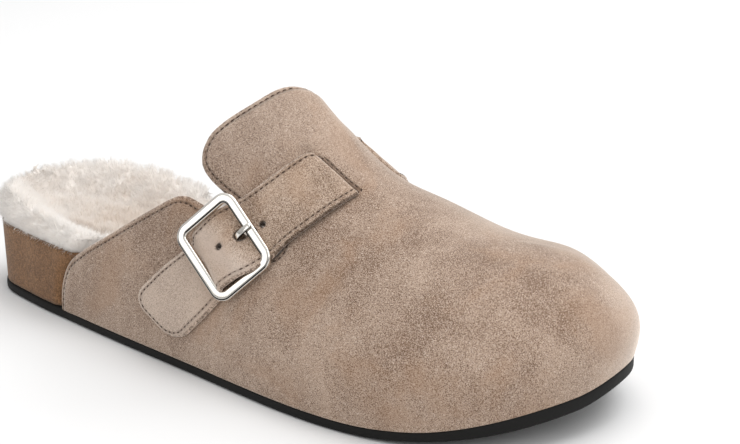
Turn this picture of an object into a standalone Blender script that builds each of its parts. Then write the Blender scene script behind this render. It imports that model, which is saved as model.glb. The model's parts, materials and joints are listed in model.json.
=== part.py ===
"""Closed-toe mule for the right foot: suede upper with a buckled instep strap, fleece
footbed, wrapped footbed body and a thin outsole.

Design lengths are millimetres, measured from the heel's back edge: x runs to the toe, the
lateral side is -y, the medial side +y, z is up from the floor. solid() turns them into metres
about the middle of the shoe's footprint.
"""
import math
from collections import namedtuple

import bmesh
import bpy
import numpy as np

MM = 0.001
MIDDLE_X = 131.4
MIDDLE_Y = 0.4

LATERAL = -1
MEDIAL = 1

GAP = 0.3

OUTSOLE_THICK = 4.8
OUTSOLE_EDGE_ROUND = 0.7
SPRING_START = 195.0
SPRING_RISE = 11.0

WALL = 2.0
UPPER_BACK = 46.0
FAN_START = 165.0
FAN_POLE = 224.0
CROWN_ROUND = 0.12
SWELL_HEIGHT = 34.0

TUCK_RUN = 9.0
TUCK_AHEAD = 3.0
HEEL_INSET_LOW = 0.7
HEEL_FLARE_TOP = 0.8

STRAP_WIDTH = 23.0
STRAP_THICK = 2.0
STRAP_TAB_END = 102.0
STRAP_SEWN_END = -70.0
STRAP_CORNER = 7.0
STRAP_SEWN_CORNER = 3.0
TAB_FLARE = 0.9
STRAP_LOW = -2.4
STRAP_REST = 0.45
BRIDGE_END = {LATERAL: 14.6, MEDIAL: 7.5}
WINDOW_RUN = 7.2
WINDOW_SIDE = 0.6
BRIDGE_LIFT = 2.7
BRIDGE_FADE = 15.0
STRAP_CENTRE_X = 170.1
STRAP_CENTRE_Z = 75.6
STRAP_LEAN = (0.73, -0.085, -0.762)
STRAP_RIDGE_ROUND = 6.0

BUCKLE_AT = 58.0
BUCKLE_ACROSS = 29.0
BUCKLE_ALONG = 26.6
BUCKLE_BAR = 2.4
BUCKLE_TILT = math.radians(1.5)
BUCKLE_CORNER = 5.2
BUCKLE_LIFT = 4.6
CENTRE_BAR_R = 0.8
CENTRE_BAR_LIFT = 2.85
HUMP_LIFT = 5.1
HUMP_FLAT = 3.4
HUMP_END = 9.2
HOLE_PITCH = 10.0
HOLE_PRONG = 7.3
HOLE_R = 1.1
HOLE_PRONG_R = 1.9
PRONG_R = 0.65
EYE_R = 1.45
EYE_HALF = 1.1
BAR_BORE_R = 1.05
CHAPE_OUTER = 1.75
CHAPE_HALF = 6.5
CHAPE_TAIL = 5.4
CHAPE_SLOT_R = 2.6
CHAPE_SLOT_HALF = 1.6

EdgePoint = namedtuple("EdgePoint", "x y")
HEEL_BACK = EdgePoint(0, 0)
TOE_TIP = EdgePoint(262.8, 9.5)
LATERAL_EDGE = [
    EdgePoint(2.6, -13.6),
    EdgePoint(11.5, -25.6),
    EdgePoint(33, -31.8),
    EdgePoint(64, -36.4),
    EdgePoint(95, -40.2),
    EdgePoint(125, -43.4),
    EdgePoint(150, -46.4),
    EdgePoint(172, -48.6),
    EdgePoint(192, -48.9),
    EdgePoint(211, -46.6),
    EdgePoint(229, -40.8),
    EdgePoint(244, -31.4),
    EdgePoint(255, -17.5),
    EdgePoint(261, -3),
]
MEDIAL_EDGE = [
    EdgePoint(2.6, 13.4),
    EdgePoint(12, 25.4),
    EdgePoint(34, 32.2),
    EdgePoint(65, 32.4),
    EdgePoint(92, 31.5),
    EdgePoint(120, 33.5),
    EdgePoint(148, 38.5),
    EdgePoint(172, 44.5),
    EdgePoint(195, 48.4),
    EdgePoint(219, 49.6),
    EdgePoint(241, 45),
    EdgePoint(254.5, 34),
    EdgePoint(261.2, 21.5),
]

RidgePoint = namedtuple("RidgePoint", "x y z")
RIDGE = [
    RidgePoint(30, 0, 150),
    RidgePoint(60, 0, 143),
    RidgePoint(90, 0, 131),
    RidgePoint(115, 1, 114),
    RidgePoint(140, 2, 95.7),
    RidgePoint(160, 3.2, 79),
    RidgePoint(175, 4.1, 68.5),
    RidgePoint(190, 5, 62.3),
    RidgePoint(205, 5.9, 58.0),
    RidgePoint(215, 6.5, 56.2),
    RidgePoint(224, 7, 54.8),
]

FormSection = namedtuple("FormSection", "x fullness swell")
UPPER_FORM = [
    FormSection(30, 1.6, 0),
    FormSection(60, 1.55, 0.5),
    FormSection(90, 1.5, 0.8),
    FormSection(120, 1.5, 1.0),
    FormSection(140, 1.5, 1.3),
    FormSection(175, 1.75, 1.8),
    FormSection(205, 2.1, 2.2),
    FormSection(235, 2.66, 2.5),
    FormSection(263, 2.72, 2.5),
]

FootbedSection = namedtuple("FootbedSection", "x rim middle pile_rim pile_middle")
FOOTBED = [
    FootbedSection(0, 27.5, 21.5, 12.0, 9.5),
    FootbedSection(30, 28, 19.5, 12.5, 11.0),
    FootbedSection(60, 27.5, 19.5, 10.5, 10.5),
    FootbedSection(95, 24.5, 19.5, 8.5, 9.5),
    FootbedSection(130, 20, 17, 7.5, 9.0),
    FootbedSection(165, 15.5, 13, 7.0, 8.0),
    FootbedSection(200, 13.5, 11.5, 6.5, 7.5),
    FootbedSection(235, 13.5, 12.0, 6.5, 7.0),
    FootbedSection(263, 15.0, 14.0, 6.0, 6.5),
]

SidePoint = namedtuple("SidePoint", "x z")
QUARTER_EDGE = [
    SidePoint(54.6, 2),
    SidePoint(54.8, 7),
    SidePoint(56.2, 14.5),
    SidePoint(60.2, 22.5),
    SidePoint(68.4, 29.2),
    SidePoint(78.4, 35.6),
    SidePoint(90.7, 43.5),
    SidePoint(102.2, 50.8),
    SidePoint(109, 55),
    SidePoint(113.4, 57.3),
    SidePoint(117.6, 58),
    SidePoint(122, 57.2),
    SidePoint(133, 54),
    SidePoint(144, 50.6),
    SidePoint(154, 47.3),
]
RELIEF_HOLE = SidePoint(157.6, 49.4)
RELIEF_R = 3.3
FLAP_EDGE = [
    SidePoint(156, 52.6),
    SidePoint(149, 55.4),
    SidePoint(140, 59.3),
    SidePoint(131.3, 62.8),
    SidePoint(125.2, 66),
    SidePoint(121.7, 69.2),
    SidePoint(120.6, 73),
    SidePoint(121.8, 78.6),
    SidePoint(125.3, 84.6),
    SidePoint(130.2, 89.4),
    SidePoint(136.2, 92.8),
    SidePoint(142, 94.4),
    SidePoint(147, 95.8),
]

PilePoint = namedtuple("PilePoint", "share bulge")
PILE_SIDE = [
    PilePoint(0, -0.9),
    PilePoint(0.25, 0.5),
    PilePoint(0.55, 0.8),
    PilePoint(0.82, -0.8),
    PilePoint(1.0, -3.6),
]

ProngPoint = namedtuple("ProngPoint", "along lift")
PRONG_LINE = [
    ProngPoint(0.4, 2.85),
    ProngPoint(3.0, 2.8),
    ProngPoint(5.3, 2.85),
    ProngPoint(7.4, 4.4),
    ProngPoint(9.2, 6.0),
    ProngPoint(10.8, 6.8),
    ProngPoint(12.6, 6.95),
    ProngPoint(14.2, 6.7),
]

LOCK_SEED = 7
LOCK_SPACING = 8.5
LOCK_RADIUS = 6.4
LOCK_HEIGHT = 1.7


def smooth(low, high, x):
    """Soft step from 0 at low to 1 at high."""
    s = np.clip((np.asarray(x, float) - low) / (high - low), 0, 1)
    return s * s * (3 - 2 * s)


def hermite(s, step, v0, v1, m0, m1):
    """Cubic between two values with end slopes m0 and m1 over a step."""
    a = 2 * s**3 - 3 * s**2 + 1
    b = s**3 - 2 * s**2 + s
    return a * v0 + b * step * m0 + (1 - a) * v1 + (s**3 - s**2) * step * m1


def column(rows, name, x):
    """Smooth value of one column of a table at station x."""
    xs = np.array([row.x for row in rows], float)
    vs = np.array([getattr(row, name) for row in rows], float)
    slopes = np.gradient(vs, xs)
    x = np.clip(np.asarray(x, float), xs[0], xs[-1])
    k = np.clip(np.searchsorted(xs, x, side="right") - 1, 0, len(xs) - 2)
    step = xs[k + 1] - xs[k]
    s = (x - xs[k]) / step
    return hermite(s, step, vs[k], vs[k + 1], slopes[k], slopes[k + 1])


def curve(points, per, closed):
    """Smooth line through points, `per` steps to each span."""
    p = np.array(points, float)
    if closed:
        q = np.vstack([p[-1:], p, p[:2]])
        spans = len(p)
    else:
        q = np.vstack([2 * p[:1] - p[1:2], p, 2 * p[-1:] - p[-2:-1]])
        spans = len(p) - 1
    chord = np.linalg.norm(np.diff(q, axis=0), axis=1) ** 0.7
    line = []
    for k in range(1, spans + 1):
        before, here, after = chord[k - 1], chord[k], chord[(k + 1) % len(chord)]
        rise0 = (q[k] - q[k - 1]) / before
        rise1 = (q[k + 1] - q[k]) / here
        rise2 = (q[(k + 2) % len(q)] - q[k + 1]) / after
        m0 = (rise0 * here + rise1 * before) / (before + here)
        m1 = (rise1 * after + rise2 * here) / (here + after)
        for s in np.arange(per) / per:
            line.append(hermite(s, here, q[k], q[k + 1], m0, m1))
    if not closed:
        line.append(p[-1])
    return np.array(line)


def sole_halves():
    """Sole edge from the heel's back to the toe tip: {side: (share of length, points)}."""
    loop = [HEEL_BACK] + LATERAL_EDGE + [TOE_TIP] + MEDIAL_EDGE[::-1]
    line = curve(loop, 40, True)
    toe = int(np.argmax(line[:, 0]))
    halves = {}
    both = {LATERAL: line[: toe + 1], MEDIAL: np.vstack([line[:1], line[:toe - 1:-1]])}
    for side, half in both.items():
        run = np.concatenate([[0], np.cumsum(np.linalg.norm(np.diff(half, axis=0), axis=1))])
        halves[side] = (run / run[-1], half)
    return halves


HALVES = sole_halves()
LENGTH = float(HALVES[LATERAL][1][-1, 0])


def edge_raw(side, q):
    """Point of the sole edge at share q of its half."""
    share, half = HALVES[side]
    return np.stack([np.interp(q, share, half[:, 0]), np.interp(q, share, half[:, 1])], -1)


def edge_out(side, q):
    """Outward direction in plan at share q."""
    q = np.asarray(q, float)
    d = edge_raw(side, np.clip(q + 0.004, 0, 1)) - edge_raw(side, np.clip(q - 0.004, 0, 1))
    out = np.stack([d[..., 1], -d[..., 0]], -1) * -side
    return out / np.linalg.norm(out, axis=-1, keepdims=True)


def edge(side, q, offset):
    """Sole edge moved outwards by offset."""
    return edge_raw(side, q) + edge_out(side, q) * np.asarray(offset, float)[..., None]


def share_at(x):
    """Share of the lateral half at station x."""
    share, half = HALVES[LATERAL]
    return np.interp(x, half[:, 0], share)


def spring(x):
    """Rise of the sole's underside over the toe."""
    s = np.clip((np.asarray(x, float) - SPRING_START) / (LENGTH - SPRING_START), 0, None)
    return SPRING_RISE * s * s


def ridge_station(x):
    """Ridge station of an edge station: over the toe the sections fan in to one pole."""
    span = LENGTH - FAN_START
    reach = FAN_POLE - FAN_START
    u = np.clip((np.asarray(x, float) - FAN_START) / span, 0, 1)
    lead = span / reach
    fan = FAN_START + reach * (lead * u + (3 - 2 * lead) * u**2 + (lead - 2) * u**3)
    return np.where(np.asarray(x) > FAN_START, fan, x)


def section_rise(away, fullness):
    """Height share of a section at a share `away` of the half width from the ridge."""
    low = CROWN_ROUND**fullness
    full = (1 + CROWN_ROUND**2) ** (fullness / 2) - low
    drop = ((away**2 + CROWN_ROUND**2) ** (fullness / 2) - low) / full
    return np.clip(1 - drop, 0, 1) ** (1 / fullness)


def section_away(rise, fullness):
    """Inverse of section_rise."""
    low = CROWN_ROUND**fullness
    full = (1 + CROWN_ROUND**2) ** (fullness / 2) - low
    drop = 1 - np.clip(rise, 0, 1) ** fullness
    return np.sqrt(np.clip((drop * full + low) ** (2 / fullness) - CROWN_ROUND**2, 0, None))


def upper_form(side, q, t):
    """Outer face of the upper without the strap's bridge; t runs from sole edge to ridge."""
    q, t = np.broadcast_arrays(np.asarray(q, float), np.asarray(t, float))
    foot = edge_raw(side, q)
    x = edge_raw(LATERAL, q)[..., 0]
    rx = ridge_station(x)
    ridge_y = column(RIDGE, "y", rx)
    ridge_z = column(RIDGE, "z", rx)
    slope = column(RIDGE, "z", rx + 0.5) - column(RIDGE, "z", rx - 0.5)
    fullness = column(UPPER_FORM, "fullness", x)
    away = np.cos(t * math.pi / 2)
    rise = section_rise(away, fullness)
    px = rx + (foot[..., 0] - rx) * away
    py = ridge_y + (foot[..., 1] - ridge_y) * away
    base = OUTSOLE_THICK + GAP + spring(foot[..., 0])
    top = ridge_z + slope * (px - rx)
    pz = base + (top - base) * rise
    swell = column(UPPER_FORM, "swell", x) * np.sin(math.pi * np.clip((pz - base) / SWELL_HEIGHT, 0, 1))
    out = edge_out(side, q) * swell[..., None]
    return np.stack([px + out[..., 0], py + out[..., 1], pz], -1)


def upper_normal(side, q, t):
    """Outward direction of the upper's outer face."""
    q, t = np.broadcast_arrays(np.asarray(q, float), np.asarray(t, float))
    t0, t1 = np.clip(t - 0.015, 0, 1), np.clip(t + 0.015, 0, 1)
    q0, q1 = np.clip(q - 0.003, 0, 1), np.clip(q + 0.003, 0, 1)
    up = upper_form(side, q, t1) - upper_form(side, q, t0)
    along = upper_form(side, q1, t) - upper_form(side, q0, t)
    n = np.cross(along, up) * -side
    return n / np.linalg.norm(n, axis=-1, keepdims=True)


def wall_inset(side, q, z):
    """How far the upper's outer face stands inside the sole edge at height z."""
    foot = edge_raw(side, q)
    x = edge_raw(LATERAL, q)[..., 0]
    rx = ridge_station(x)
    base = OUTSOLE_THICK + GAP + spring(foot[..., 0])
    rise = (z - base) / (column(RIDGE, "z", rx) - base)
    away = section_away(rise, column(UPPER_FORM, "fullness", x))
    reach = np.hypot(foot[..., 0] - rx, foot[..., 1] - column(RIDGE, "y", rx))
    swell = column(UPPER_FORM, "swell", x) * np.sin(math.pi * np.clip((z - base) / SWELL_HEIGHT, 0, 1))
    return (1 - away) * reach - swell


def strap_across(p):
    """Signed distance of a point from the strap's middle line, forwards positive."""
    beside = np.sqrt((p[..., 1] - column(RIDGE, "y", STRAP_CENTRE_X)) ** 2 + STRAP_RIDGE_ROUND**2)
    lean_x, lean_y, lean_z = STRAP_LEAN
    ahead = lean_x * (p[..., 0] - STRAP_CENTRE_X) + lean_z * (p[..., 2] - STRAP_CENTRE_Z)
    return ahead + lean_y * (beside - STRAP_RIDGE_ROUND)


TRACES = {}
TRACE_T = np.linspace(1, 0.04, 90)
TRACE_W = np.linspace(-32, 32, 41)


def strap_trace(side, w):
    """Line on the upper at distance w from the strap's middle: (run from the ridge, q, t)."""
    key = (side, round(float(w), 4))
    if key not in TRACES:
        t = TRACE_T
        low = np.full_like(t, share_at(60.0))
        high = np.full_like(t, share_at(215.0))
        for _ in range(40):
            mid = (low + high) / 2
            ahead = strap_across(upper_form(side, mid, t)) > w
            high = np.where(ahead, mid, high)
            low = np.where(ahead, low, mid)
        q = (low + high) / 2
        p = upper_form(side, q, t)
        run = np.concatenate([[0], np.cumsum(np.linalg.norm(np.diff(p, axis=0), axis=1))])
        TRACES[key] = (run, q, t)
    return TRACES[key]


def band_run(side, p, t):
    """Run from the ridge, measured along the strap, of points of the upper at height share t."""
    runs = np.array([strap_trace(side, w)[0] for w in TRACE_W])
    i = (strap_across(p) - TRACE_W[0]) / (TRACE_W[1] - TRACE_W[0])
    j = (t - TRACE_T[0]) / (TRACE_T[1] - TRACE_T[0])
    i0 = np.clip(np.floor(i).astype(int), 0, len(TRACE_W) - 2)
    j0 = np.clip(np.floor(j).astype(int), 0, len(TRACE_T) - 2)
    fi, fj = np.clip(i - i0, 0, 1), np.clip(j - j0, 0, 1)
    low = runs[i0, j0] * (1 - fj) + runs[i0, j0 + 1] * fj
    high = runs[i0 + 1, j0] * (1 - fj) + runs[i0 + 1, j0 + 1] * fj
    return low * (1 - fi) + high * fi


def band_point(a, w, lift):
    """Point at run a along the strap (lateral positive), w across it, lift off the upper."""
    side = LATERAL if a >= 0 else MEDIAL
    run, q, t = strap_trace(side, w)
    qa, ta = np.interp(abs(a), run, q), np.interp(abs(a), run, t)
    n = upper_normal(side, qa, min(ta, 0.985))
    if ta > 0.9:
        mirror = upper_normal(-side, qa, min(ta, 0.985))
        blend = 0.5 * (ta - 0.9) / 0.1
        n = n * (1 - blend) + mirror * blend
        n = n / np.linalg.norm(n)
    return upper_form(side, qa, ta) + n * lift


def strap_lift(a, along):
    """Height of the strap's underside at run a, `along` from the buckle's centre bar."""
    past = abs(a) - BRIDGE_END[LATERAL if a >= 0 else MEDIAL]
    lift = STRAP_LOW + (STRAP_REST - STRAP_LOW) * smooth(0.4, WINDOW_RUN - 0.8, past)
    hump = 1 - smooth(HUMP_FLAT, HUMP_END, abs(along))
    return lift + (HUMP_LIFT - STRAP_REST) * hump


def bridge_lift(p, past):
    """Rise of the upper where the strap passes under it, `past` the end of the bridge."""
    across = np.abs(strap_across(p)) - STRAP_WIDTH / 2 - WINDOW_SIDE
    return BRIDGE_LIFT * (1 - smooth(0, WINDOW_RUN, past)) * (1 - smooth(0, BRIDGE_FADE, across))


def collection(name):
    """New collection under the scene."""
    made = bpy.data.collections.new(name)
    bpy.context.scene.collection.children.link(made)
    return made


def material(name, colour, metallic, roughness):
    """Plain surface material."""
    made = bpy.data.materials.new(name)
    made.use_nodes = True
    shader = made.node_tree.nodes["Principled BSDF"]
    shader.inputs["Base Color"].default_value = (*colour, 1)
    shader.inputs["Metallic"].default_value = metallic
    shader.inputs["Roughness"].default_value = roughness
    return made


def solid(name, points, faces, where, finish):
    """Mesh object from design points and faces, turned so that its faces look outwards."""
    shift = np.array([MIDDLE_X, MIDDLE_Y, 0])
    mesh = bpy.data.meshes.new(name)
    mesh.from_pydata(((np.asarray(points) - shift) * MM).tolist(), [], faces)
    if finish:
        mesh.materials.append(finish)
    shape = bmesh.new()
    shape.from_mesh(mesh)
    bmesh.ops.recalc_face_normals(shape, faces=shape.faces)
    if shape.calc_volume(signed=True) < 0:
        bmesh.ops.reverse_faces(shape, faces=shape.faces)
    shape.to_mesh(mesh)
    shape.free()
    made = bpy.data.objects.new(name, mesh)
    where.objects.link(made)
    return made


def ring_faces(rings, size, closed):
    """Quads between successive rings of `size` points, with end caps or a closed turn."""
    faces = []
    for k in range(rings if closed else rings - 1):
        a, b = k * size, ((k + 1) % rings) * size
        for j in range(size):
            i = (j + 1) % size
            faces.append((a + j, a + i, b + i, b + j))
    if not closed:
        faces.append(tuple(range(size)))
        faces.append(tuple(range((rings - 1) * size, rings * size)))
    return faces


def loft(name, rings, where, finish, closed=False):
    """Solid through successive rings of points."""
    points = np.concatenate([np.asarray(ring, float) for ring in rings])
    return solid(name, points, ring_faces(len(rings), len(rings[0]), closed), where, finish)


def cutter(made):
    """Marks an object as a cutting form."""
    made.hide_render = True
    made.display_type = "WIRE"
    return made


def cut(target, tool, operation="DIFFERENCE"):
    """Adds an exact boolean to target."""
    step = target.modifiers.new(tool.name, "BOOLEAN")
    step.operation = operation
    step.solver = "EXACT"
    step.object = tool
    step.material_mode = "INDEX"


def sole_shares(count):
    """Shares along the sole, closer together round heel and toe."""
    u = np.linspace(0.012, 0.988, count)
    return u - 0.09 * np.sin(2 * math.pi * u) / (2 * math.pi) * 4 / 3


def body_shares():
    """Shares of the footbed's sections, with extra ones where the quarter begins."""
    plain = sole_shares(41)
    extra = share_at(np.linspace(43, 69, 10))
    keep = [q for q in plain if q < extra[0] - 0.006 or q > extra[-1] + 0.006]
    return np.sort(np.concatenate([keep, extra]))


def outsole(where, finish):
    """Thin sole plate with toe spring and a small rounding round its lower edge."""
    rings = []
    for q in sole_shares(40):
        ring = []
        levels = ((-OUTSOLE_EDGE_ROUND, 0), (0, OUTSOLE_EDGE_ROUND), (0, OUTSOLE_THICK))
        for side, order in ((LATERAL, levels), (MEDIAL, levels[::-1])):
            for offset, z in order:
                x, y = edge(side, q, offset)
                ring.append((x, y, z + spring(x)))
        rings.append(ring)
    return loft("outsole", rings, where, finish)


QUARTER_LINE = curve(QUARTER_EDGE, 6, False)


def tucked_in(x, z):
    """0 on the bare heel, 1 where the quarter covers the side at height z."""
    rising = QUARTER_LINE[: int(np.argmax(QUARTER_LINE[:, 1])) + 1]
    cover = float(np.interp(z, rising[:, 1], rising[:, 0])) - TUCK_AHEAD
    return float(smooth(cover - TUCK_RUN, cover, x))


def dish_share(left, right):
    """How much of the dish shows in a section: none where it narrows to nothing."""
    return float(smooth(0, 46, np.linalg.norm(right - left)))


def footbed_side(side, q, share):
    """Outer side of the footbed at a share of its height, bare at the heel, tucked in ahead."""
    x = edge_raw(LATERAL, q)[0]
    base = OUTSOLE_THICK + GAP + spring(edge_raw(side, q)[0])
    rim = float(column(FOOTBED, "rim", x)) + spring(x)
    z = base + (rim - base) * share
    bare = -HEEL_INSET_LOW + (HEEL_INSET_LOW + HEEL_FLARE_TOP) * share
    tucked = -float(wall_inset(side, q, z)) - WALL - GAP - 0.25 - 0.45 * float(smooth(200, 222, x))
    px, py = edge(side, q, bare + (tucked - bare) * tucked_in(x, z))
    return np.array([px, py, z])


def across_top(left, right, middle, count, dish):
    """Points from left to right over a dished top whose middle lies at height `middle`."""
    points = []
    shown = dish_share(left, right)
    for s in np.linspace(-1, 1, count):
        p = left + (right - left) * (s + 1) / 2
        p[2] += (middle - p[2]) * shown * (1 - abs(s) ** dish)
        points.append(p)
    return points


def footbed(where, finish):
    """Contoured footbed body between outsole and fleece, wrapped and bare round the heel."""
    rings = []
    for q in body_shares():
        x = edge_raw(LATERAL, q)[0]
        middle = float(column(FOOTBED, "middle", x)) + spring(x)
        sides = {side: [footbed_side(side, q, s) for s in (0, 0.45, 0.85, 1)] for side in HALVES}
        top = across_top(sides[MEDIAL][-1], sides[LATERAL][-1], middle, 7, 2.2)
        rings.append(sides[LATERAL][:-1][::-1] + sides[MEDIAL][:-1] + top)
    return loft("footbed", rings, where, finish)


def lock_field():
    """Jittered lattice of lock roots over the footbed."""
    rng = np.random.default_rng(LOCK_SEED)
    xs = np.arange(-4, LENGTH + 4, LOCK_SPACING)
    ys = np.arange(-54, 56, LOCK_SPACING)
    grid = np.stack(np.meshgrid(xs, ys), -1).reshape(-1, 2)
    return grid + rng.uniform(-0.4, 0.4, grid.shape) * LOCK_SPACING


LOCKS = lock_field()


def lock_rise(x, y):
    """Height of the fleece's locks at a place: rounded tufts with valleys between."""
    near = np.min(np.hypot(LOCKS[:, 0] - x, LOCKS[:, 1] - y))
    return LOCK_HEIGHT * (1 - 2 * (near / LOCK_RADIUS) ** 2)


def fleece(where, finish):
    """Deep fleece on the footbed with its locks fused on, spilling over the bare heel rim."""
    rings = []
    for q in body_shares():
        x = edge_raw(LATERAL, q)[0]
        deep = float(column(FOOTBED, "pile_rim", x))
        sides = {}
        for side in HALVES:
            root = footbed_side(side, q, 1)
            levels = []
            for share, bulge in PILE_SIDE:
                z = root[2] + GAP + deep * share
                blend = tucked_in(x, z - 1.5)
                free = HEEL_FLARE_TOP + bulge
                inner = -float(wall_inset(side, q, z)) - WALL - 1.5 - 2.0 * share**3
                px, py = edge(side, q, free + (inner - free) * blend)
                puff = lock_rise(px, py) * (0.5 * share * (1 - blend))
                px, py = edge(side, q, free + (inner - free) * blend + puff)
                levels.append(np.array([px, py, z + puff * share]))
            sides[side] = levels
        middle = float(column(FOOTBED, "middle", x)) + spring(x)
        under = across_top(footbed_side(LATERAL, q, 1), footbed_side(MEDIAL, q, 1), middle, 7, 2.2)
        under = [p + np.array([0, 0, GAP + 0.15]) for p in under]
        deep_middle = middle + float(column(FOOTBED, "pile_middle", x))
        top = across_top(sides[MEDIAL][-1], sides[LATERAL][-1], deep_middle, 11, 2.4)
        for j, p in enumerate(top):
            p[2] += lock_rise(p[0], p[1]) * math.sin(math.pi * j / 10) ** 0.5
        ring = sides[LATERAL][:-1][::-1] + under[1:-1] + sides[MEDIAL][:-1] + top
        rings.append(ring)
    return loft("fleece", rings, where, finish)


def upper_stations():
    """Stations of the upper's sections, close together at the bridge."""
    back = np.linspace(UPPER_BACK, 144, 9)
    bridge = np.linspace(147, 189, 15)
    front = np.linspace(float(share_at(193)), 1, 16)
    return np.concatenate([share_at(back), share_at(bridge), front])


def upper(where, finish, tools):
    """Hollow suede shell, trimmed at the collar and pierced by the strap's two slits."""
    q = upper_stations()
    t = np.concatenate([np.linspace(0, 0.6, 6), np.linspace(0.68, 1, 9)])
    grids = {}
    for side in HALVES:
        p = upper_form(side, q[:, None], t[None, :])
        run = band_run(side, p, np.broadcast_to(t, p.shape[:2]))
        normal = upper_normal(side, q[:, None], np.minimum(t, 0.985)[None, :])
        grids[side] = p + normal * bridge_lift(p, run - BRIDGE_END[side])[..., None]
    ridge = (grids[LATERAL][:, -1] + grids[MEDIAL][:, -1]) / 2
    rows, size = len(q), len(t)
    points = []
    index = {}
    for side in HALVES:
        for k in range(rows):
            for j in range(size):
                if j == size - 1:
                    p = ridge[k]
                    key = ("ridge", k)
                elif k == rows - 1:
                    p = grids[LATERAL][k, j]
                    key = ("toe", j)
                else:
                    p = grids[side][k, j]
                    key = (side, k, j)
                if key not in index:
                    index[key] = len(points)
                    points.append(p)
                index[(side, k, j)] = index[key]
    faces = []
    for side in HALVES:
        for k in range(rows - 1):
            for j in range(size - 1):
                ring = (index[(side, k, j)], index[(side, k + 1, j)])
                ring += (index[(side, k + 1, j + 1)], index[(side, k, j + 1)])
                faces.append(ring[::side])
    made = solid("upper", points, faces, where, finish)
    wall = made.modifiers.new("wall", "SOLIDIFY")
    wall.thickness = WALL * MM
    wall.offset = -1
    wall.use_even_offset = True
    for tool in tools:
        cut(made, tool)
    return made


def collar_tool(where):
    """Form that trims the collar: the space behind quarter and flap, with notch and relief hole."""
    lower = curve(QUARTER_EDGE, 5, False)
    over = curve(FLAP_EDGE, 5, False)
    start = math.atan2(lower[-1][1] - RELIEF_HOLE.z, lower[-1][0] - RELIEF_HOLE.x)
    end = math.atan2(over[0][1] - RELIEF_HOLE.z, over[0][0] - RELIEF_HOLE.x)
    turn = np.linspace(start, end, 12)
    hole = np.stack([RELIEF_HOLE.x + RELIEF_R * np.cos(turn), RELIEF_HOLE.z + RELIEF_R * np.sin(turn)], -1)
    far = np.array([(150, 103), (160, 175), (20, 175), (20, -6), (54.6, -6)], float)
    side = np.vstack([lower[:-1], hole, over[1:], far])
    rings = [[(x, y, z) for x, z in side] for y in (-75, 75)]
    return cutter(loft("collar_tool", rings, where, None))


def band_block(name, runs, widths, lifts, where):
    """Closed block over a stretch of the strap's band, between two lifts off the upper."""
    rings = []
    for a in runs:
        low = [band_point(a, w, lifts[0]) for w in widths]
        high = [band_point(a, w, lifts[1]) for w in widths]
        rings.append(low + high[::-1])
    return cutter(loft(name, rings, where, None))


def strap_half(a):
    """Half width of the strap along its run, with rounded corners at both ends."""
    tab = max(0.0, a - (STRAP_TAB_END - STRAP_CORNER))
    sewn = max(0.0, STRAP_SEWN_END + STRAP_SEWN_CORNER - a)
    lost = STRAP_CORNER - math.sqrt(max(0.0, STRAP_CORNER**2 - tab**2))
    lost += STRAP_SEWN_CORNER - math.sqrt(max(0.0, STRAP_SEWN_CORNER**2 - sewn**2))
    flare = TAB_FLARE * float(smooth(BUCKLE_AT + 12, BUCKLE_AT + 28, a))
    return STRAP_WIDTH / 2 + flare - lost


def strap(where, finish, tools):
    """Strap from its sewn end, under the bridge, through the buckle to its free tab."""
    turn = np.sin(np.linspace(0, math.pi / 2, 6))
    sewn = STRAP_SEWN_END + STRAP_SEWN_CORNER * (1 - turn[::-1])
    under_bridge = np.linspace(-18, 24, 22)
    foot, axis, _, _ = buckle_frame_axes()
    hump = np.linspace(BUCKLE_AT - 15, BUCKLE_AT + 15, 25)
    tab = STRAP_TAB_END - STRAP_CORNER * (1 - turn)
    runs = np.concatenate([
        sewn,
        np.linspace(STRAP_SEWN_END + 6, -21, 12),
        under_bridge,
        np.linspace(27, BUCKLE_AT - 17, 5),
        hump,
        np.linspace(BUCKLE_AT + 17, STRAP_TAB_END - STRAP_CORNER - 2, 6),
        tab,
    ])
    rings = []
    for a in runs:
        widths = np.linspace(-strap_half(a), strap_half(a), 5)
        along = [float((band_point(a, w, 0) - foot) @ axis) for w in widths]
        low = [float(strap_lift(a, u)) for u in along]
        under = [band_point(a, w, lift) for w, lift in zip(widths, low)]
        over = [band_point(a, w, lift + STRAP_THICK) for w, lift in zip(widths, low)]
        rings.append(under + over[::-1])
    made = loft("strap", rings, where, finish)
    for tool in tools:
        cut(made, tool)
    return made


def buckle_frame_axes():
    """Buckle's foot on the upper and its directions: along the strap, across it, outwards."""
    foot = band_point(BUCKLE_AT, 0, 0)
    along = band_point(BUCKLE_AT - 9, 0, 0) - band_point(BUCKLE_AT + 9, 0, 0)
    across = band_point(BUCKLE_AT, 10, 0) - band_point(BUCKLE_AT, -10, 0)
    along = along / np.linalg.norm(along)
    out = np.cross(across, along)
    out = out / np.linalg.norm(out)
    if out[1] > 0:
        out = -out
    across = np.cross(along, out)
    if across[0] < 0:
        across = -across
    lean, rise = math.cos(BUCKLE_TILT), math.sin(BUCKLE_TILT)
    return foot, along, across * lean - out * rise, out * lean + across * rise


def at_buckle(axes, along, across, lift):
    """Design point from the buckle's own measures."""
    foot, u, w, n = axes
    return foot + u * along + w * across + n * lift


def rod(name, line, radius, sides, where, finish, axes, direction):
    """Round rod along a line of buckle measures, thickened across `direction`."""
    line = np.asarray(line, float)
    rings = []
    for k, p in enumerate(line):
        ahead = line[min(k + 1, len(line) - 1)] - line[max(k - 1, 0)]
        ahead = ahead / np.linalg.norm(ahead)
        first = np.asarray(direction, float)
        second = np.cross(ahead, first)
        second = second / np.linalg.norm(second)
        ring = []
        for j in range(sides):
            turn = 2 * math.pi * (j + 0.5) / sides
            offset = radius * (math.cos(turn) * first + math.sin(turn) * second)
            ring.append(at_buckle(axes, *(p + offset)))
        rings.append(ring)
    return loft(name, rings, where, finish)


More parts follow.
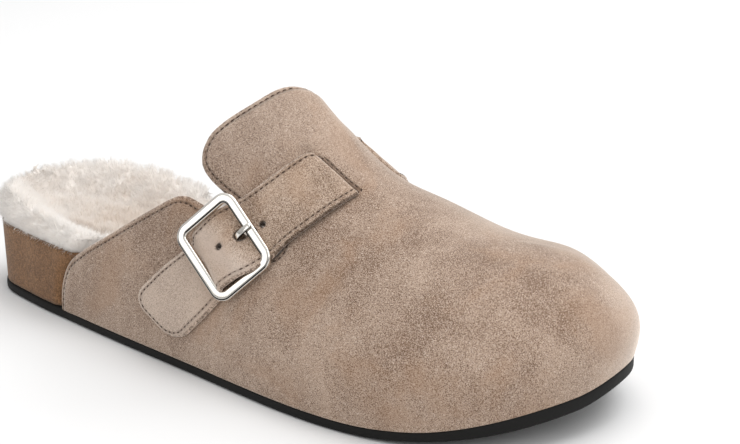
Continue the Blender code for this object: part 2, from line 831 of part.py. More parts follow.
def cross_rod(name, reach, radius, where, finish, axes):
    """Round form along the centre bar's line, `reach` to each side of the middle."""
    line = [(0, w, CENTRE_BAR_LIFT) for w in (-reach, 0, reach)]
    return cutter(rod(name, line, radius, 12, where, finish, axes, (1, 0, 0)))


def buckle(where, finish, spare):
    """Rounded square frame with bevelled bars and a low centre bar."""
    axes = buckle_frame_axes()
    path = []
    inner_u = BUCKLE_ALONG / 2 - BUCKLE_CORNER
    inner_w = BUCKLE_ACROSS / 2 - BUCKLE_CORNER
    for quarter, (su, sw) in enumerate(((1, 1), (1, -1), (-1, -1), (-1, 1))):
        for turn in np.linspace(0, math.pi / 2, 6):
            angle = math.pi / 2 - turn - quarter * math.pi / 2
            path.append((su * inner_u, sw * inner_w, math.cos(angle), math.sin(angle)))
    half = BUCKLE_BAR / 2
    bevel = 0.5
    section = ((-half, half - bevel), (-half + bevel, half), (half - bevel, half), (half, half - bevel))
    section += ((half, bevel - half), (half - bevel, -half), (bevel - half, -half), (-half, bevel - half))
    rings = []
    for u, w, cu, cw in path:
        ring = []
        for across, lift in section:
            reach = BUCKLE_CORNER - half + across
            ring.append(at_buckle(axes, u + cu * reach, w + cw * reach, BUCKLE_LIFT + lift))
        rings.append(ring)
    made = loft("buckle", rings, where, finish, closed=True)
    reach = BUCKLE_ACROSS / 2 - half
    cut(made, cross_rod("centre_bar_form", reach, CENTRE_BAR_R, spare, finish, axes), "UNION")
    return made


def prong(where, finish, spare):
    """Prong: an eye on the centre bar, up through the strap and over the frame's bar."""
    axes = buckle_frame_axes()
    fine = curve([(p.along, p.lift) for p in PRONG_LINE], 2, False)
    line = [(u, 0, lift) for u, lift in fine]
    made = rod("prong", line, PRONG_R, 8, where, finish, axes, (0, 1, 0))
    cut(made, cross_rod("prong_eye", EYE_HALF, EYE_R, spare, finish, axes), "UNION")
    cut(made, cross_rod("prong_bore", 3 * EYE_HALF, BAR_BORE_R, spare, finish, axes))
    return made


def chape(where, finish, spare):
    """Leather loop that holds the centre bar on the quarter, split in the middle for the prong."""
    axes = buckle_frame_axes()
    profile = []
    for turn in np.linspace(-math.pi / 2, math.pi, 13):
        profile.append((CHAPE_OUTER * math.cos(turn), CENTRE_BAR_LIFT + CHAPE_OUTER * math.sin(turn)))
    profile += [(-CHAPE_TAIL, 1.7), (-CHAPE_TAIL, CENTRE_BAR_LIFT - CHAPE_OUTER)]
    rings = []
    for w in (-CHAPE_HALF, CHAPE_HALF):
        rings.append([at_buckle(axes, u, w, lift) for u, lift in profile])
    made = loft("chape", rings, where, finish)
    cut(made, cross_rod("chape_bore", 2 * CHAPE_HALF, BAR_BORE_R, spare, finish, axes))
    cut(made, cross_rod("chape_slot", CHAPE_SLOT_HALF, CHAPE_SLOT_R, spare, finish, axes))
    return made


def strap_holes(where):
    """Round punches for the strap's three holes, the prong's one wider."""
    axes = buckle_frame_axes()
    punches = []
    for number, step in enumerate((-1, 0, 1)):
        along = HOLE_PRONG + step * HOLE_PITCH
        radius = HOLE_PRONG_R if step == 0 else HOLE_R
        line = [(along, 0, -6), (along, 0, 3), (along, 0, 14)]
        name = "strap_punch_%d" % (number + 1)
        punches.append(cutter(rod(name, line, radius, 14, where, None, axes, (0, 1, 0))))
    return punches


def main():
    """Builds the mule's pieces."""
    for old in list(bpy.data.objects):
        bpy.data.objects.remove(old, do_unlink=True)
    shoe = collection("mule")
    forms = collection("cutting_forms")
    suede = material("taupe_suede", (0.36, 0.27, 0.21), 0, 0.9)
    fleece_wool = material("cream_fleece", (0.85, 0.81, 0.75), 0, 0.95)
    wrap = material("brown_wrap", (0.17, 0.1, 0.06), 0, 0.85)
    rubber = material("black_rubber", (0.02, 0.02, 0.02), 0, 0.6)
    nickel = material("polished_nickel", (0.8, 0.8, 0.78), 1, 0.15)
    leather = material("taupe_leather", (0.3, 0.22, 0.17), 0, 0.85)
    outsole(shoe, rubber)
    footbed(shoe, wrap)
    fleece(shoe, fleece_wool)
    half = STRAP_WIDTH / 2 + WINDOW_SIDE
    widths = np.linspace(-half, half, 7)
    tools = [collar_tool(forms)]
    slit = np.linspace(0, WINDOW_RUN, 4)
    tools.append(band_block("lateral_slit", slit + BRIDGE_END[LATERAL], widths, (-6, 7), forms))
    tools.append(band_block("medial_slit", -slit - BRIDGE_END[MEDIAL], widths, (-6, 7), forms))
    upper(shoe, suede, tools)
    strap(shoe, suede, strap_holes(forms))
    buckle(shoe, nickel, forms)
    prong(shoe, nickel, forms)
    chape(shoe, leather, forms)


main()
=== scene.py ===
"""Looks of a closed-toe mule for the right foot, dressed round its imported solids.

Design lengths are millimetres from the heel's back edge, as in the part's source: x runs to the
toe, the lateral side is -y, the medial side +y, z is up from the floor.
"""
import json
import math
from collections import namedtuple

import bmesh
import bpy
import numpy as np
from mathutils import Matrix

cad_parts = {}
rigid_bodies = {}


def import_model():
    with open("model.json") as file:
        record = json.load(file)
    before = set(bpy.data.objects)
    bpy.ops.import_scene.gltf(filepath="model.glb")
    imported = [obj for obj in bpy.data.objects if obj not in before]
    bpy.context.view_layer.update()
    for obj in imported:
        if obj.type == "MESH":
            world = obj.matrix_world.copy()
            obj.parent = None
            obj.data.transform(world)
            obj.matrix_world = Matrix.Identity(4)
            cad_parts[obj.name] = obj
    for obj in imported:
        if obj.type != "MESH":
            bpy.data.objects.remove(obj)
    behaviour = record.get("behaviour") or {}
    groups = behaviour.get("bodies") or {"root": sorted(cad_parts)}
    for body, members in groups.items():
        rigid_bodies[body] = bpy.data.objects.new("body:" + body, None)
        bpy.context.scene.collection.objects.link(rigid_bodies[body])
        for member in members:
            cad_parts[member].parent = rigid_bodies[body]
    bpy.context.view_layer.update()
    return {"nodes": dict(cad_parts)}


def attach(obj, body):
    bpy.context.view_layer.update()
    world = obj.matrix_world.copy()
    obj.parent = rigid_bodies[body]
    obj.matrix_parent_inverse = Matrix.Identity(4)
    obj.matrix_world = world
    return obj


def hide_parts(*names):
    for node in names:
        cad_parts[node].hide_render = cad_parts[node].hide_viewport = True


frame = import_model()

# Design sizes, as in the part's source.
MM = 0.001
MIDDLE_X = 131.4
MIDDLE_Y = 0.4

LATERAL = -1
MEDIAL = 1

GAP = 0.3

OUTSOLE_THICK = 4.8
SPRING_START = 195.0
SPRING_RISE = 11.0

WALL = 2.0
UPPER_BACK = 46.0
FAN_START = 165.0
FAN_POLE = 224.0
CROWN_ROUND = 0.12
SWELL_HEIGHT = 34.0

TUCK_RUN = 4.0
TUCK_AHEAD = 0.6
HEEL_INSET_LOW = 0.7
HEEL_FLARE_TOP = -0.2

STRAP_WIDTH = 23.0
STRAP_THICK = 2.0
STRAP_TAB_END = 102.0
STRAP_SEWN_END = -70.0
STRAP_CORNER = 7.0
STRAP_SEWN_CORNER = 3.0
TAB_FLARE = 0.9
STRAP_REST = 0.45
BRIDGE_END = {LATERAL: 14.6, MEDIAL: 7.5}
STRAP_CENTRE_X = 170.1
STRAP_CENTRE_Z = 75.6
STRAP_LEAN = (0.73, -0.085, -0.762)
STRAP_RIDGE_ROUND = 6.0

BUCKLE_AT = 58.0
BUCKLE_BAR = 2.4
BUCKLE_TILT = math.radians(1.5)
BUCKLE_CORNER = 5.2
BUCKLE_LIFT = 4.6
CENTRE_BAR_R = 0.8
CENTRE_BAR_LIFT = 2.85
HUMP_LIFT = 5.1
HOLE_R = 1.05
HOLE_PRONG_R = 1.9

EdgePoint = namedtuple("EdgePoint", "x y")
HEEL_BACK = EdgePoint(0, 0)
TOE_TIP = EdgePoint(262.8, 9.5)
LATERAL_EDGE = [EdgePoint(*row) for row in (
    (2.6, -13.6), (11.5, -25.6), (33, -31.8), (64, -36.4), (95, -40.2), (125, -43.4), (150, -46.4),
    (172, -48.6), (192, -48.9), (211, -46.6), (229, -40.8), (244, -31.4), (255, -17.5), (261, -3),
)]
MEDIAL_EDGE = [EdgePoint(*row) for row in (
    (2.6, 13.4), (12, 25.4), (34, 32.2), (65, 32.4), (92, 31.5), (120, 33.5), (148, 38.5),
    (172, 44.5), (195, 48.4), (219, 49.6), (241, 45), (254.5, 34), (261.2, 21.5),
)]

RidgePoint = namedtuple("RidgePoint", "x y z")
RIDGE = [RidgePoint(*row) for row in (
    (30, 0, 150), (60, 0, 143), (90, 0, 131), (115, 1, 114), (140, 2, 95.7), (160, 3.2, 79),
    (175, 4.1, 68.5), (190, 5, 62.3), (205, 5.9, 58.0), (215, 6.5, 56.2), (224, 7, 54.8),
)]

FormSection = namedtuple("FormSection", "x fullness swell")
UPPER_FORM = [FormSection(*row) for row in (
    (30, 1.6, 0), (60, 1.55, 0.5), (90, 1.5, 0.8), (120, 1.5, 1.0), (140, 1.5, 1.3),
    (175, 1.75, 1.8), (205, 2.1, 2.2), (235, 2.66, 2.5), (263, 2.72, 2.5),
)]

FootbedSection = namedtuple("FootbedSection", "x rim middle pile_rim pile_middle")
FOOTBED = [FootbedSection(*row) for row in (
    (0, 27.5, 21.5, 12.0, 9.5), (30, 28, 19.5, 12.5, 11.0), (60, 27.5, 19.5, 10.5, 10.5),
    (95, 24.5, 19.5, 8.5, 9.5), (130, 20, 17, 7.5, 9.0), (165, 15.5, 13, 7.0, 8.0),
    (200, 13.5, 11.5, 6.5, 7.5), (235, 13.5, 12.0, 6.5, 7.0), (263, 15.0, 14.0, 6.0, 6.5),
)]

SidePoint = namedtuple("SidePoint", "x z")
QUARTER_EDGE = [SidePoint(*row) for row in (
    (54.6, 2), (54.8, 7), (56.2, 14.5), (60.2, 22.5), (68.4, 29.2), (78.4, 35.6), (90.7, 43.5),
    (102.2, 50.8), (109, 55), (113.4, 57.3), (117.6, 58), (122, 57.2), (133, 54), (144, 50.6),
    (154, 47.3),
)]
RELIEF_HOLE = SidePoint(157.6, 49.4)
RELIEF_R = 3.3
FLAP_EDGE = [SidePoint(*row) for row in (
    (156, 52.6), (149, 55.4), (140, 59.3), (131.3, 62.8), (125.2, 66), (121.7, 69.2), (120.6, 73),
    (121.8, 78.6), (125.9, 83.9), (131.0, 88.3), (136.7, 92.0), (142, 94.4), (147, 95.8),
)]

LOCK_SEED = 7
LOCK_SPACING = 8.5
LOCK_RADIUS = 6.4
LOCK_HEIGHT = 1.7


def srgb(r, g, b):
    """Linear colour of a tone given as 0 to 255 display values."""
    shares = (r / 255, g / 255, b / 255)
    return tuple(c / 12.92 if c <= 0.04045 else ((c + 0.055) / 1.055) ** 2.4 for c in shares)


# Steps for slopes, and stand-ins for `far off` and for the last sound normal below the ridge.
EDGE_STEP = 0.004
Q_STEP = 0.003
T_STEP = 0.015
FAR_OFF = 99.0
NEAR_RIDGE = 0.985

# Upper, slits and seams.
SLIT_ROUND = 5.0
SEAM_IN = 1.8
STRAP_SEAM_IN = 1.6
SLIT_SEAM_IN = 0.55
SEAM_PUFF = 0.22
EDGE_DROP = 0.45
SLIT_WINDOW = 3.6
SLIT_MARGIN = -0.2
SLIT_LIFT = 1.5
BRIDGE_MIDDLE = 0.7
SLIT_LIP = 1.0
SLIT_STRAP_LOW = -1.7
STRAP_UNDER = -4.2
STRAP_REST_MEDIAL = -0.9
THROAT_DIP = 3.2
THROAT_RISE = 1.7
THROAT_WIDE = 7.0
THROAT_TOP = 78.0
THROAT_CLEAR = -5.0
HEM = 1.6
SKIRT = 1.3
TOE_WAY = (0.79, 0.61)
TOE_LIFT = 2.7
TOE_EASE = 60
# Painted sheen: the toe's front rim is painted paler where the nap catches the light.
TOE_SHEEN = 1.1
# The flap is paler towards its top.
FLAP_PALE = 0.5
HEEL_PULL = 1.2
COLLAR_FAR = [(150, 103), (160, 175), (20, 175), (20, -6), (54.6, -6)]
RIM_ROLL = 0.35
LINING_OFF = 12

# Outsole, from its lower edge up: offset outwards and height.
SOLE_STEPS = 170
SOLE_SIDE = [
    (-1.3, 0), (-0.55, 0.1), (-0.12, 0.45), (0, 1.0), (0, 2.7),
    (-0.1, 3.1), (-0.4, 3.3), (-2.8, 3.35), (-2.8, 3.4),
]

# Strap and its holes.
HOLE_MIDDLE = 6.85
HOLE_STEP = 7.3
HOLE_ASIDE = -0.6
THROAT_DROP = 1.2
THROAT_RUN = 7.0
STRAP_CROWN = 0.35
# Paler suede towards the tab, and a painted highlight over the strap's arch in the buckle.
TAB_PALE = 1.55
ARCH_HIGHLIGHT = 1.1
STRAP_RIM_ROLL = 0.3
STRAP_SPREAD = 1.0
STRAP_GAPE = 0.5
STRAP_SPREAD_AT = 51.0
STRAP_SPREAD_FRONT = 1.3
STRAP_SPREAD_FRONT_AT = 57.0

# Fineness of the meshes.
UPPER_ROWS = 226
UPPER_COLUMNS = 92
STRAP_ROWS = 290
STRAP_COLUMNS = 43
FOOTBED_STEPS = 170
FLEECE_STEPS = 220

# Fleece and its hairs.
DISH_FADE = 46
DISH_POWER = 2.2
PILE_STANDS = 1.7
PILE_PATCHES = 4
PILE_DENSITY = 0.92e6
LINING_DENSITY = 0.5e6
PILE_ROOT = -0.9
PILE_BULGE = 0.6
PILE_ROUND = 4.6
DISH_RUN = 19.0
DISH_LINES = 58
LUMPS = 0.45
ROLL_LOW = 0.32
ROLL_STEEP = 9.5
# Painted shade where the lateral roll meets the dish: start, end and width in plan.
CREASE_SHADE_LINE = (43.0, -19.0, 66.0, -17.5, 2.6)
HANG = -1.5
FRINGE = 2.6
TUFT_SEED = 4
TUFT_KINDS = 6
TUFT_HAIRS = 7
TUFT_CURLED = 2
TUFT_SPREAD = 0.7
HAIR_LENGTH = 3.4
HAIR_R = 0.11
# Painted glow: the fleece gives off a little light in its own colour.
FLEECE_GLOW = 0.3
PILE_SEED = 11
PILE_LENGTH = 1.0
PILE_LEAN = 0.4
LINING_SEED = 31
LINING_LENGTH = 0.9
LINING_LEAN = 0.9

# Frame, centre bar and prong.
BAR_RINGS = 9
BAR_SIDES = 16
PRONG_SIDES = 24
PRONG_WIDE = 1.0
PRONG_TALL = 0.5
SQUARED = 0.55
HUMP_TOP_TAB = 6.2
HUMP_TOP_SLIT = 0.5
HUMP_FOOT = 13.0
TONGUE_LINE = [
    (0.4, 2.85), (3.0, 3.1), (4.8, 4.2), (6.2, 5.4),
    (7.8, 6.1), (9.6, 6.25), (11.2, 6.2), (13.1, 5.95),
]
FRAME_LEAN = math.radians(-5.0)
FRAME_TIP = math.radians(9.5)
FRAME_TURN = math.radians(2.0)
FRAME_SHIFT = (-0.25, -1.1, 0.9)
FRAME_ALONG = 25.8
FRAME_ACROSS = 30.2
FRAME_SHOULDER = 1.1
FRAME_DROP = 0.7
# Share of the bevel that gets the painted dark reflection.
DARK_LINE = (0.25, 0.78)
FRAME_BAR = 3.5

# Stitches.
STITCH_LONG = 1.45
STITCH_WIDE = 0.45
STITCH_RISE = 0.16
STITCH_PITCH = 2.25
STITCH_SINK = 0.12
SEAM_ROUNDS = 6
SEAM_LEAST = 20
SLIT_SEAM_LEAST = 10

# Tones and looks.
SUEDE_SHEEN = 1.0
RAW_EDGE = srgb(206, 184, 166)
# Rough raw lower edge of the strap, dark partly in its own colour and partly as painted shade where it
# stands off the upper.
FRAY_AND_SHADE_TONE = srgb(62, 46, 36)
# Painted shade in the strap's holes and round the relief hole.
HOLE_SHADE = srgb(36, 28, 24)
UPPER_DARK = srgb(96, 70, 52)
UPPER_LIGHT = srgb(187, 165, 147)
UPPER_RAW = 0.75
STRAP_DARK = srgb(102, 77, 58)
STRAP_LIGHT = srgb(198, 176, 157)
STRAP_RAW = 0.45
SHEEN_TINT = srgb(252, 240, 229)
FLECK = srgb(218, 200, 186)
EARTHY = srgb(160, 126, 98)
# Paler tone that the painted sheen and highlight, the paler tab and the flap's top mix towards.
PALE_AND_SHEEN_TONE = srgb(206, 193, 184)
BROAD_SHARE = 0.65
BRUSH_SHARE = 0.75
PILE_SHARE = 0.4
SPECK_SHARE = 2.9
PALENESS_AND_SHEEN_SHARE = 0.11
FLEECE_LOW = srgb(213, 200, 188)
FLEECE_HIGH = srgb(232, 227, 222)
# Painted shade deep inside the toe box, on the fleece and the lining.
FLEECE_TOE_BOX_SHADE = srgb(92, 78, 68)
WRAP_DARK = srgb(86, 60, 39)
WRAP_LIGHT = srgb(152, 114, 80)
RUBBER_BLACK = srgb(14, 14, 13)
RUBBER_DUST = srgb(26, 25, 24)
NICKEL_LOW = srgb(226, 221, 213)
NICKEL_HIGH = srgb(240, 236, 230)
THREAD_DARK = srgb(46, 33, 26)
THREAD_LIGHT = srgb(78, 58, 46)
LEATHER_DARK = srgb(96, 76, 62)
LEATHER_LIGHT = srgb(140, 116, 98)
BRUSH_WAY = (1.0, 1.0, 0.45)
# Painted dark reflection on nickel that looks down.
NICKEL_DARK_REFLECTION = (0.02, 0.019, 0.018)

# Studio and camera.
FLOOR_HALF = 6
FLOOR_DROP = -0.0002
FLOOR_LOW = (0.78, 0.78, 0.78)
FLOOR_HIGH = (0.8, 0.8, 0.8)
SKY_HIGH = 0.9
SKY_LOW = 0.28
SKY_FROM = -0.1
SKY_TO = 0.9
LAMP_AIM = (0, 0, 0.03)
CAMERA_TURN = 37.85
CAMERA_RISE = 18.07
CAMERA_FAR = 600.0
CAMERA_LENS = 79.3
CAMERA_SENSOR = 36
CAMERA_NEAR = 0.02
CAMERA_AIM = (140.3, 40.6, 35.0)

Lamp = namedtuple("Lamp", "name x y z wide tall power")
LAMPS = [
    Lamp("top", 0.35, 0.3, 1.5, 1.3, 1.3, 13.0),
    Lamp("front", 1.1, -0.5, 0.8, 0.8, 0.8, 3.6),
    Lamp("back", 0.2, 1.1, 0.9, 1.0, 0.7, 5.0),
    Lamp("glint", -0.37, -1.42, 0.5, 0.6, 0.5, 1.1),
]

Dent = namedtuple("Dent", "x y long wide rise")
DENTS = [
    Dent(217, 26, 16, 13, -3.4),
    Dent(168, 11, 17, 15, -1.6),
    Dent(249, 35, 10, 11, -1.7),
]

Fold = namedtuple("Fold", "side x0 z0 x1 z1 width rise")
FOLDS = [
    Fold(LATERAL, 150, 40, 185, 30, 9, -0.5),
    Fold(LATERAL, 205, 40, 228, 20, 9, -0.4),
]


def smooth(low, high, x):
    """Soft step from 0 at low to 1 at high."""
    s = np.clip((np.asarray(x, float) - low) / (high - low), 0, 1)
    return s * s * (3 - 2 * s)


def unit(v):
    """Vectors brought to length 1."""
    return v / np.linalg.norm(v, axis=-1, keepdims=True)


def turned(a, b, angle):
    """Two square directions, turned in their plane so that the first moves towards the second."""
    return a * math.cos(angle) + b * math.sin(angle), b * math.cos(angle) - a * math.sin(angle)


def hermite(s, step, v0, v1, m0, m1):
    """Cubic between two values with end slopes m0 and m1 over a step."""
    a = 2 * s**3 - 3 * s**2 + 1
    b = s**3 - 2 * s**2 + s
    return a * v0 + b * step * m0 + (1 - a) * v1 + (s**3 - s**2) * step * m1


def column(rows, name, x):
    """Smooth value of one column of a table at station x."""
    xs = np.array([row.x for row in rows], float)
    vs = np.array([getattr(row, name) for row in rows], float)
    slopes = np.gradient(vs, xs)
    x = np.clip(np.asarray(x, float), xs[0], xs[-1])
    k = np.clip(np.searchsorted(xs, x, side="right") - 1, 0, len(xs) - 2)
    step = xs[k + 1] - xs[k]
    s = (x - xs[k]) / step
    return hermite(s, step, vs[k], vs[k + 1], slopes[k], slopes[k + 1])


def curve(points, per, closed):
    """Smooth line through points, `per` steps to each span."""
    p = np.array(points, float)
    if closed:
        q = np.vstack([p[-1:], p, p[:2]])
        spans = len(p)
    else:
        q = np.vstack([2 * p[:1] - p[1:2], p, 2 * p[-1:] - p[-2:-1]])
        spans = len(p) - 1
    chord = np.linalg.norm(np.diff(q, axis=0), axis=1) ** 0.7
    line = []
    for k in range(1, spans + 1):
        before, here, after = chord[k - 1], chord[k], chord[(k + 1) % len(chord)]
        rise0 = (q[k] - q[k - 1]) / before
        rise1 = (q[k + 1] - q[k]) / here
        rise2 = (q[(k + 2) % len(q)] - q[k + 1]) / after
        m0 = (rise0 * here + rise1 * before) / (before + here)
        m1 = (rise1 * after + rise2 * here) / (here + after)
        for s in np.arange(per) / per:
            line.append(hermite(s, here, q[k], q[k + 1], m0, m1))
    if not closed:
        line.append(p[-1])
    return np.array(line)


def sole_halves():
    """Sole edge from the heel's back to the toe tip: {side: (share of length, points)}."""
    loop = [HEEL_BACK] + LATERAL_EDGE + [TOE_TIP] + MEDIAL_EDGE[::-1]
    line = curve(loop, 40, True)
    toe = int(np.argmax(line[:, 0]))
    halves = {}
    both = {LATERAL: line[: toe + 1], MEDIAL: np.vstack([line[:1], line[:toe - 1:-1]])}
    for side, half in both.items():
        run = np.concatenate([[0], np.cumsum(np.linalg.norm(np.diff(half, axis=0), axis=1))])
        halves[side] = (run / run[-1], half)
    return halves


HALVES = sole_halves()
LENGTH = float(HALVES[LATERAL][1][-1, 0])


def edge_raw(side, q):
    """Point of the sole edge at share q of its half."""
    share, half = HALVES[side]
    return np.stack([np.interp(q, share, half[:, 0]), np.interp(q, share, half[:, 1])], -1)


def edge_out(side, q):
    """Outward direction in plan at share q."""
    q = np.asarray(q, float)
    d = edge_raw(side, np.clip(q + EDGE_STEP, 0, 1)) - edge_raw(side, np.clip(q - EDGE_STEP, 0, 1))
    out = np.stack([d[..., 1], -d[..., 0]], -1) * -side
    return unit(out)


def edge(side, q, offset):
    """Sole edge moved outwards by offset."""
    return edge_raw(side, q) + edge_out(side, q) * np.asarray(offset, float)[..., None]


def share_at(x):
    """Share of the lateral half at station x."""
    share, half = HALVES[LATERAL]
    return np.interp(x, half[:, 0], share)


def spring(x):
    """Rise of the sole's underside over the toe."""
    s = np.clip((np.asarray(x, float) - SPRING_START) / (LENGTH - SPRING_START), 0, None)
    return SPRING_RISE * s * s


def ridge_station(x):
    """Ridge station of an edge station: over the toe the sections fan in to one pole."""
    span = LENGTH - FAN_START
    reach = FAN_POLE - FAN_START
    u = np.clip((np.asarray(x, float) - FAN_START) / span, 0, 1)
    lead = span / reach
    fan = FAN_START + reach * (lead * u + (3 - 2 * lead) * u**2 + (lead - 2) * u**3)
    return np.where(np.asarray(x) > FAN_START, fan, x)


def section_rise(away, fullness):
    """Height share of a section at a share `away` of the half width from the ridge."""
    low = CROWN_ROUND**fullness
    full = (1 + CROWN_ROUND**2) ** (fullness / 2) - low
    drop = ((away**2 + CROWN_ROUND**2) ** (fullness / 2) - low) / full
    return np.clip(1 - drop, 0, 1) ** (1 / fullness)


def section_away(rise, fullness):
    """Inverse of section_rise."""
    low = CROWN_ROUND**fullness
    full = (1 + CROWN_ROUND**2) ** (fullness / 2) - low
    drop = 1 - np.clip(rise, 0, 1) ** fullness
    return np.sqrt(np.clip((drop * full + low) ** (2 / fullness) - CROWN_ROUND**2, 0, None))


def upper_form(side, q, t):
    """Outer face of the upper without the strap's bridge; t runs from sole edge to ridge."""
    q, t = np.broadcast_arrays(np.asarray(q, float), np.asarray(t, float))
    foot = edge_raw(side, q)
    x = edge_raw(LATERAL, q)[..., 0]
    rx = ridge_station(x)
    ridge_y = column(RIDGE, "y", rx)
    ridge_z = column(RIDGE, "z", rx)
    slope = column(RIDGE, "z", rx + 0.5) - column(RIDGE, "z", rx - 0.5)
    fullness = column(UPPER_FORM, "fullness", x)
    away = np.cos(t * math.pi / 2)
    rise = section_rise(away, fullness)
    px = rx + (foot[..., 0] - rx) * away
    py = ridge_y + (foot[..., 1] - ridge_y) * away
    base = OUTSOLE_THICK + GAP + spring(foot[..., 0])
    top = ridge_z + slope * (px - rx)
    pz = base + (top - base) * rise
    swell = column(UPPER_FORM, "swell", x) * np.sin(math.pi * np.clip((pz - base) / SWELL_HEIGHT, 0, 1))
    out = edge_out(side, q) * swell[..., None]
    return np.stack([px + out[..., 0], py + out[..., 1], pz], -1)


def upper_normal(side, q, t):
    """Outward direction of the upper's outer face."""
    q, t = np.broadcast_arrays(np.asarray(q, float), np.asarray(t, float))
    t0, t1 = np.clip(t - T_STEP, 0, 1), np.clip(t + T_STEP, 0, 1)
    q0, q1 = np.clip(q - Q_STEP, 0, 1), np.clip(q + Q_STEP, 0, 1)
    up = upper_form(side, q, t1) - upper_form(side, q, t0)
    along = upper_form(side, q1, t) - upper_form(side, q0, t)
    n = np.cross(along, up) * -side
    return unit(n)


def wall_inset(side, q, z):
    """How far the upper's outer face stands inside the sole edge at height z."""
    foot = edge_raw(side, q)
    x = edge_raw(LATERAL, q)[..., 0]
    rx = ridge_station(x)
    base = OUTSOLE_THICK + GAP + spring(foot[..., 0])
    rise = (z - base) / (column(RIDGE, "z", rx) - base)
    away = section_away(rise, column(UPPER_FORM, "fullness", x))
    reach = np.hypot(foot[..., 0] - rx, foot[..., 1] - column(RIDGE, "y", rx))
    swell = column(UPPER_FORM, "swell", x) * np.sin(math.pi * np.clip((z - base) / SWELL_HEIGHT, 0, 1))
    return (1 - away) * reach - swell


def strap_across(p):
    """Signed distance of a point from the strap's middle line, forwards positive."""
    beside = np.sqrt((p[..., 1] - column(RIDGE, "y", STRAP_CENTRE_X)) ** 2 + STRAP_RIDGE_ROUND**2)
    lean_x, lean_y, lean_z = STRAP_LEAN
    ahead = lean_x * (p[..., 0] - STRAP_CENTRE_X) + lean_z * (p[..., 2] - STRAP_CENTRE_Z)
    return ahead + lean_y * (beside - STRAP_RIDGE_ROUND)


TRACES = {}
TRACE_T = np.linspace(1, 0.04, 90)
TRACE_W = np.linspace(-32, 32, 41)


def strap_trace(side, w):
    """Line on the upper at distance w from the strap's middle: (run from the ridge, q, t)."""
    key = (side, round(float(w), 4))
    if key not in TRACES:
        t = TRACE_T
        low = np.full_like(t, share_at(60.0))
        high = np.full_like(t, share_at(215.0))
        for _ in range(40):
            mid = (low + high) / 2
            ahead = strap_across(upper_form(side, mid, t)) > w
            high = np.where(ahead, mid, high)
            low = np.where(ahead, low, mid)
        q = (low + high) / 2
        p = upper_form(side, q, t)
        run = np.concatenate([[0], np.cumsum(np.linalg.norm(np.diff(p, axis=0), axis=1))])
        TRACES[key] = (run, q, t)
    return TRACES[key]


def band_run(side, p, t):
    """Run from the ridge, measured along the strap, of points of the upper at height share t."""
    runs = np.array([strap_trace(side, w)[0] for w in TRACE_W])
    i = (strap_across(p) - TRACE_W[0]) / (TRACE_W[1] - TRACE_W[0])
    j = (t - TRACE_T[0]) / (TRACE_T[1] - TRACE_T[0])
    i0 = np.clip(np.floor(i).astype(int), 0, len(TRACE_W) - 2)
    j0 = np.clip(np.floor(j).astype(int), 0, len(TRACE_T) - 2)
    fi, fj = np.clip(i - i0, 0, 1), np.clip(j - j0, 0, 1)
    low = runs[i0, j0] * (1 - fj) + runs[i0, j0 + 1] * fj
    high = runs[i0 + 1, j0] * (1 - fj) + runs[i0 + 1, j0 + 1] * fj
    return low * (1 - fi) + high * fi


def sole_shares(count):
    """Shares along the sole, closer together round heel and toe."""
    u = np.linspace(0.012, 0.988, count)
    return u - 0.09 * np.sin(2 * math.pi * u) / (2 * math.pi) * 4 / 3


QUARTER_LINE = curve(QUARTER_EDGE, 6, False)
QUARTER_RISE = QUARTER_LINE[: int(np.argmax(QUARTER_LINE[:, 1])) + 1]


def tucked_in(x, z):
    """0 on the bare heel, 1 where the quarter covers the side at height z."""
    cover = np.interp(z, QUARTER_RISE[:, 1], QUARTER_RISE[:, 0]) - TUCK_AHEAD
    return smooth(cover - TUCK_RUN, cover, x)


def footbed_side(side, q, share):
    """Outer side of the footbed at a share of its height, bare at the heel, tucked in ahead."""
    q, share = np.broadcast_arrays(np.asarray(q, float), np.asarray(share, float))
    x = edge_raw(LATERAL, q)[..., 0]
    base = OUTSOLE_THICK + GAP + spring(edge_raw(side, q)[..., 0])
    rim = column(FOOTBED, "rim", x) + spring(x)
    z = base + (rim - base) * share
    bare = -HEEL_INSET_LOW + (HEEL_INSET_LOW + HEEL_FLARE_TOP) * share
    tucked = -wall_inset(side, q, z) - WALL - GAP - 0.25 - 0.45 * smooth(200, 222, x)
    place = edge(side, q, bare + (tucked - bare) * tucked_in(x, z))
    return np.concatenate([place, z[..., None]], -1)


def lock_field():
    """Jittered lattice of lock roots over the footbed."""
    rng = np.random.default_rng(LOCK_SEED)
    xs = np.arange(-4, LENGTH + 4, LOCK_SPACING)
    ys = np.arange(-54, 56, LOCK_SPACING)
    grid = np.stack(np.meshgrid(xs, ys), -1).reshape(-1, 2)
    return grid + rng.uniform(-0.4, 0.4, grid.shape) * LOCK_SPACING


LOCKS = lock_field()


def lock_rise(x, y):
    """Height of the fleece's locks at a place: rounded tufts with valleys between."""
    gap = np.hypot(np.asarray(x)[..., None] - LOCKS[:, 0], np.asarray(y)[..., None] - LOCKS[:, 1])
    return LOCK_HEIGHT * (1 - 2 * (gap.min(-1) / LOCK_RADIUS) ** 2)


def band_frame(a, w):
    """Points and normals of the upper's outer face at runs a along the strap, w across it."""
    places = np.zeros((len(a), 3))
    normals = np.zeros((len(a), 3))
    for side, here in ((LATERAL, a >= 0), (MEDIAL, a < 0)):
        run, q, t = strap_trace(side, w)
        qa = np.interp(np.abs(a[here]), run, q)
        ta = np.interp(np.abs(a[here]), run, t)
        capped = np.minimum(ta, NEAR_RIDGE)
        own = upper_normal(side, qa, capped)
        other = upper_normal(-side, qa, capped)
        blend = (0.5 * np.clip((ta - 0.9) / 0.1, 0, 1))[:, None]
        n = own * (1 - blend) + other * blend
        places[here] = upper_form(side, qa, ta)
        normals[here] = unit(n)
    return places, normals


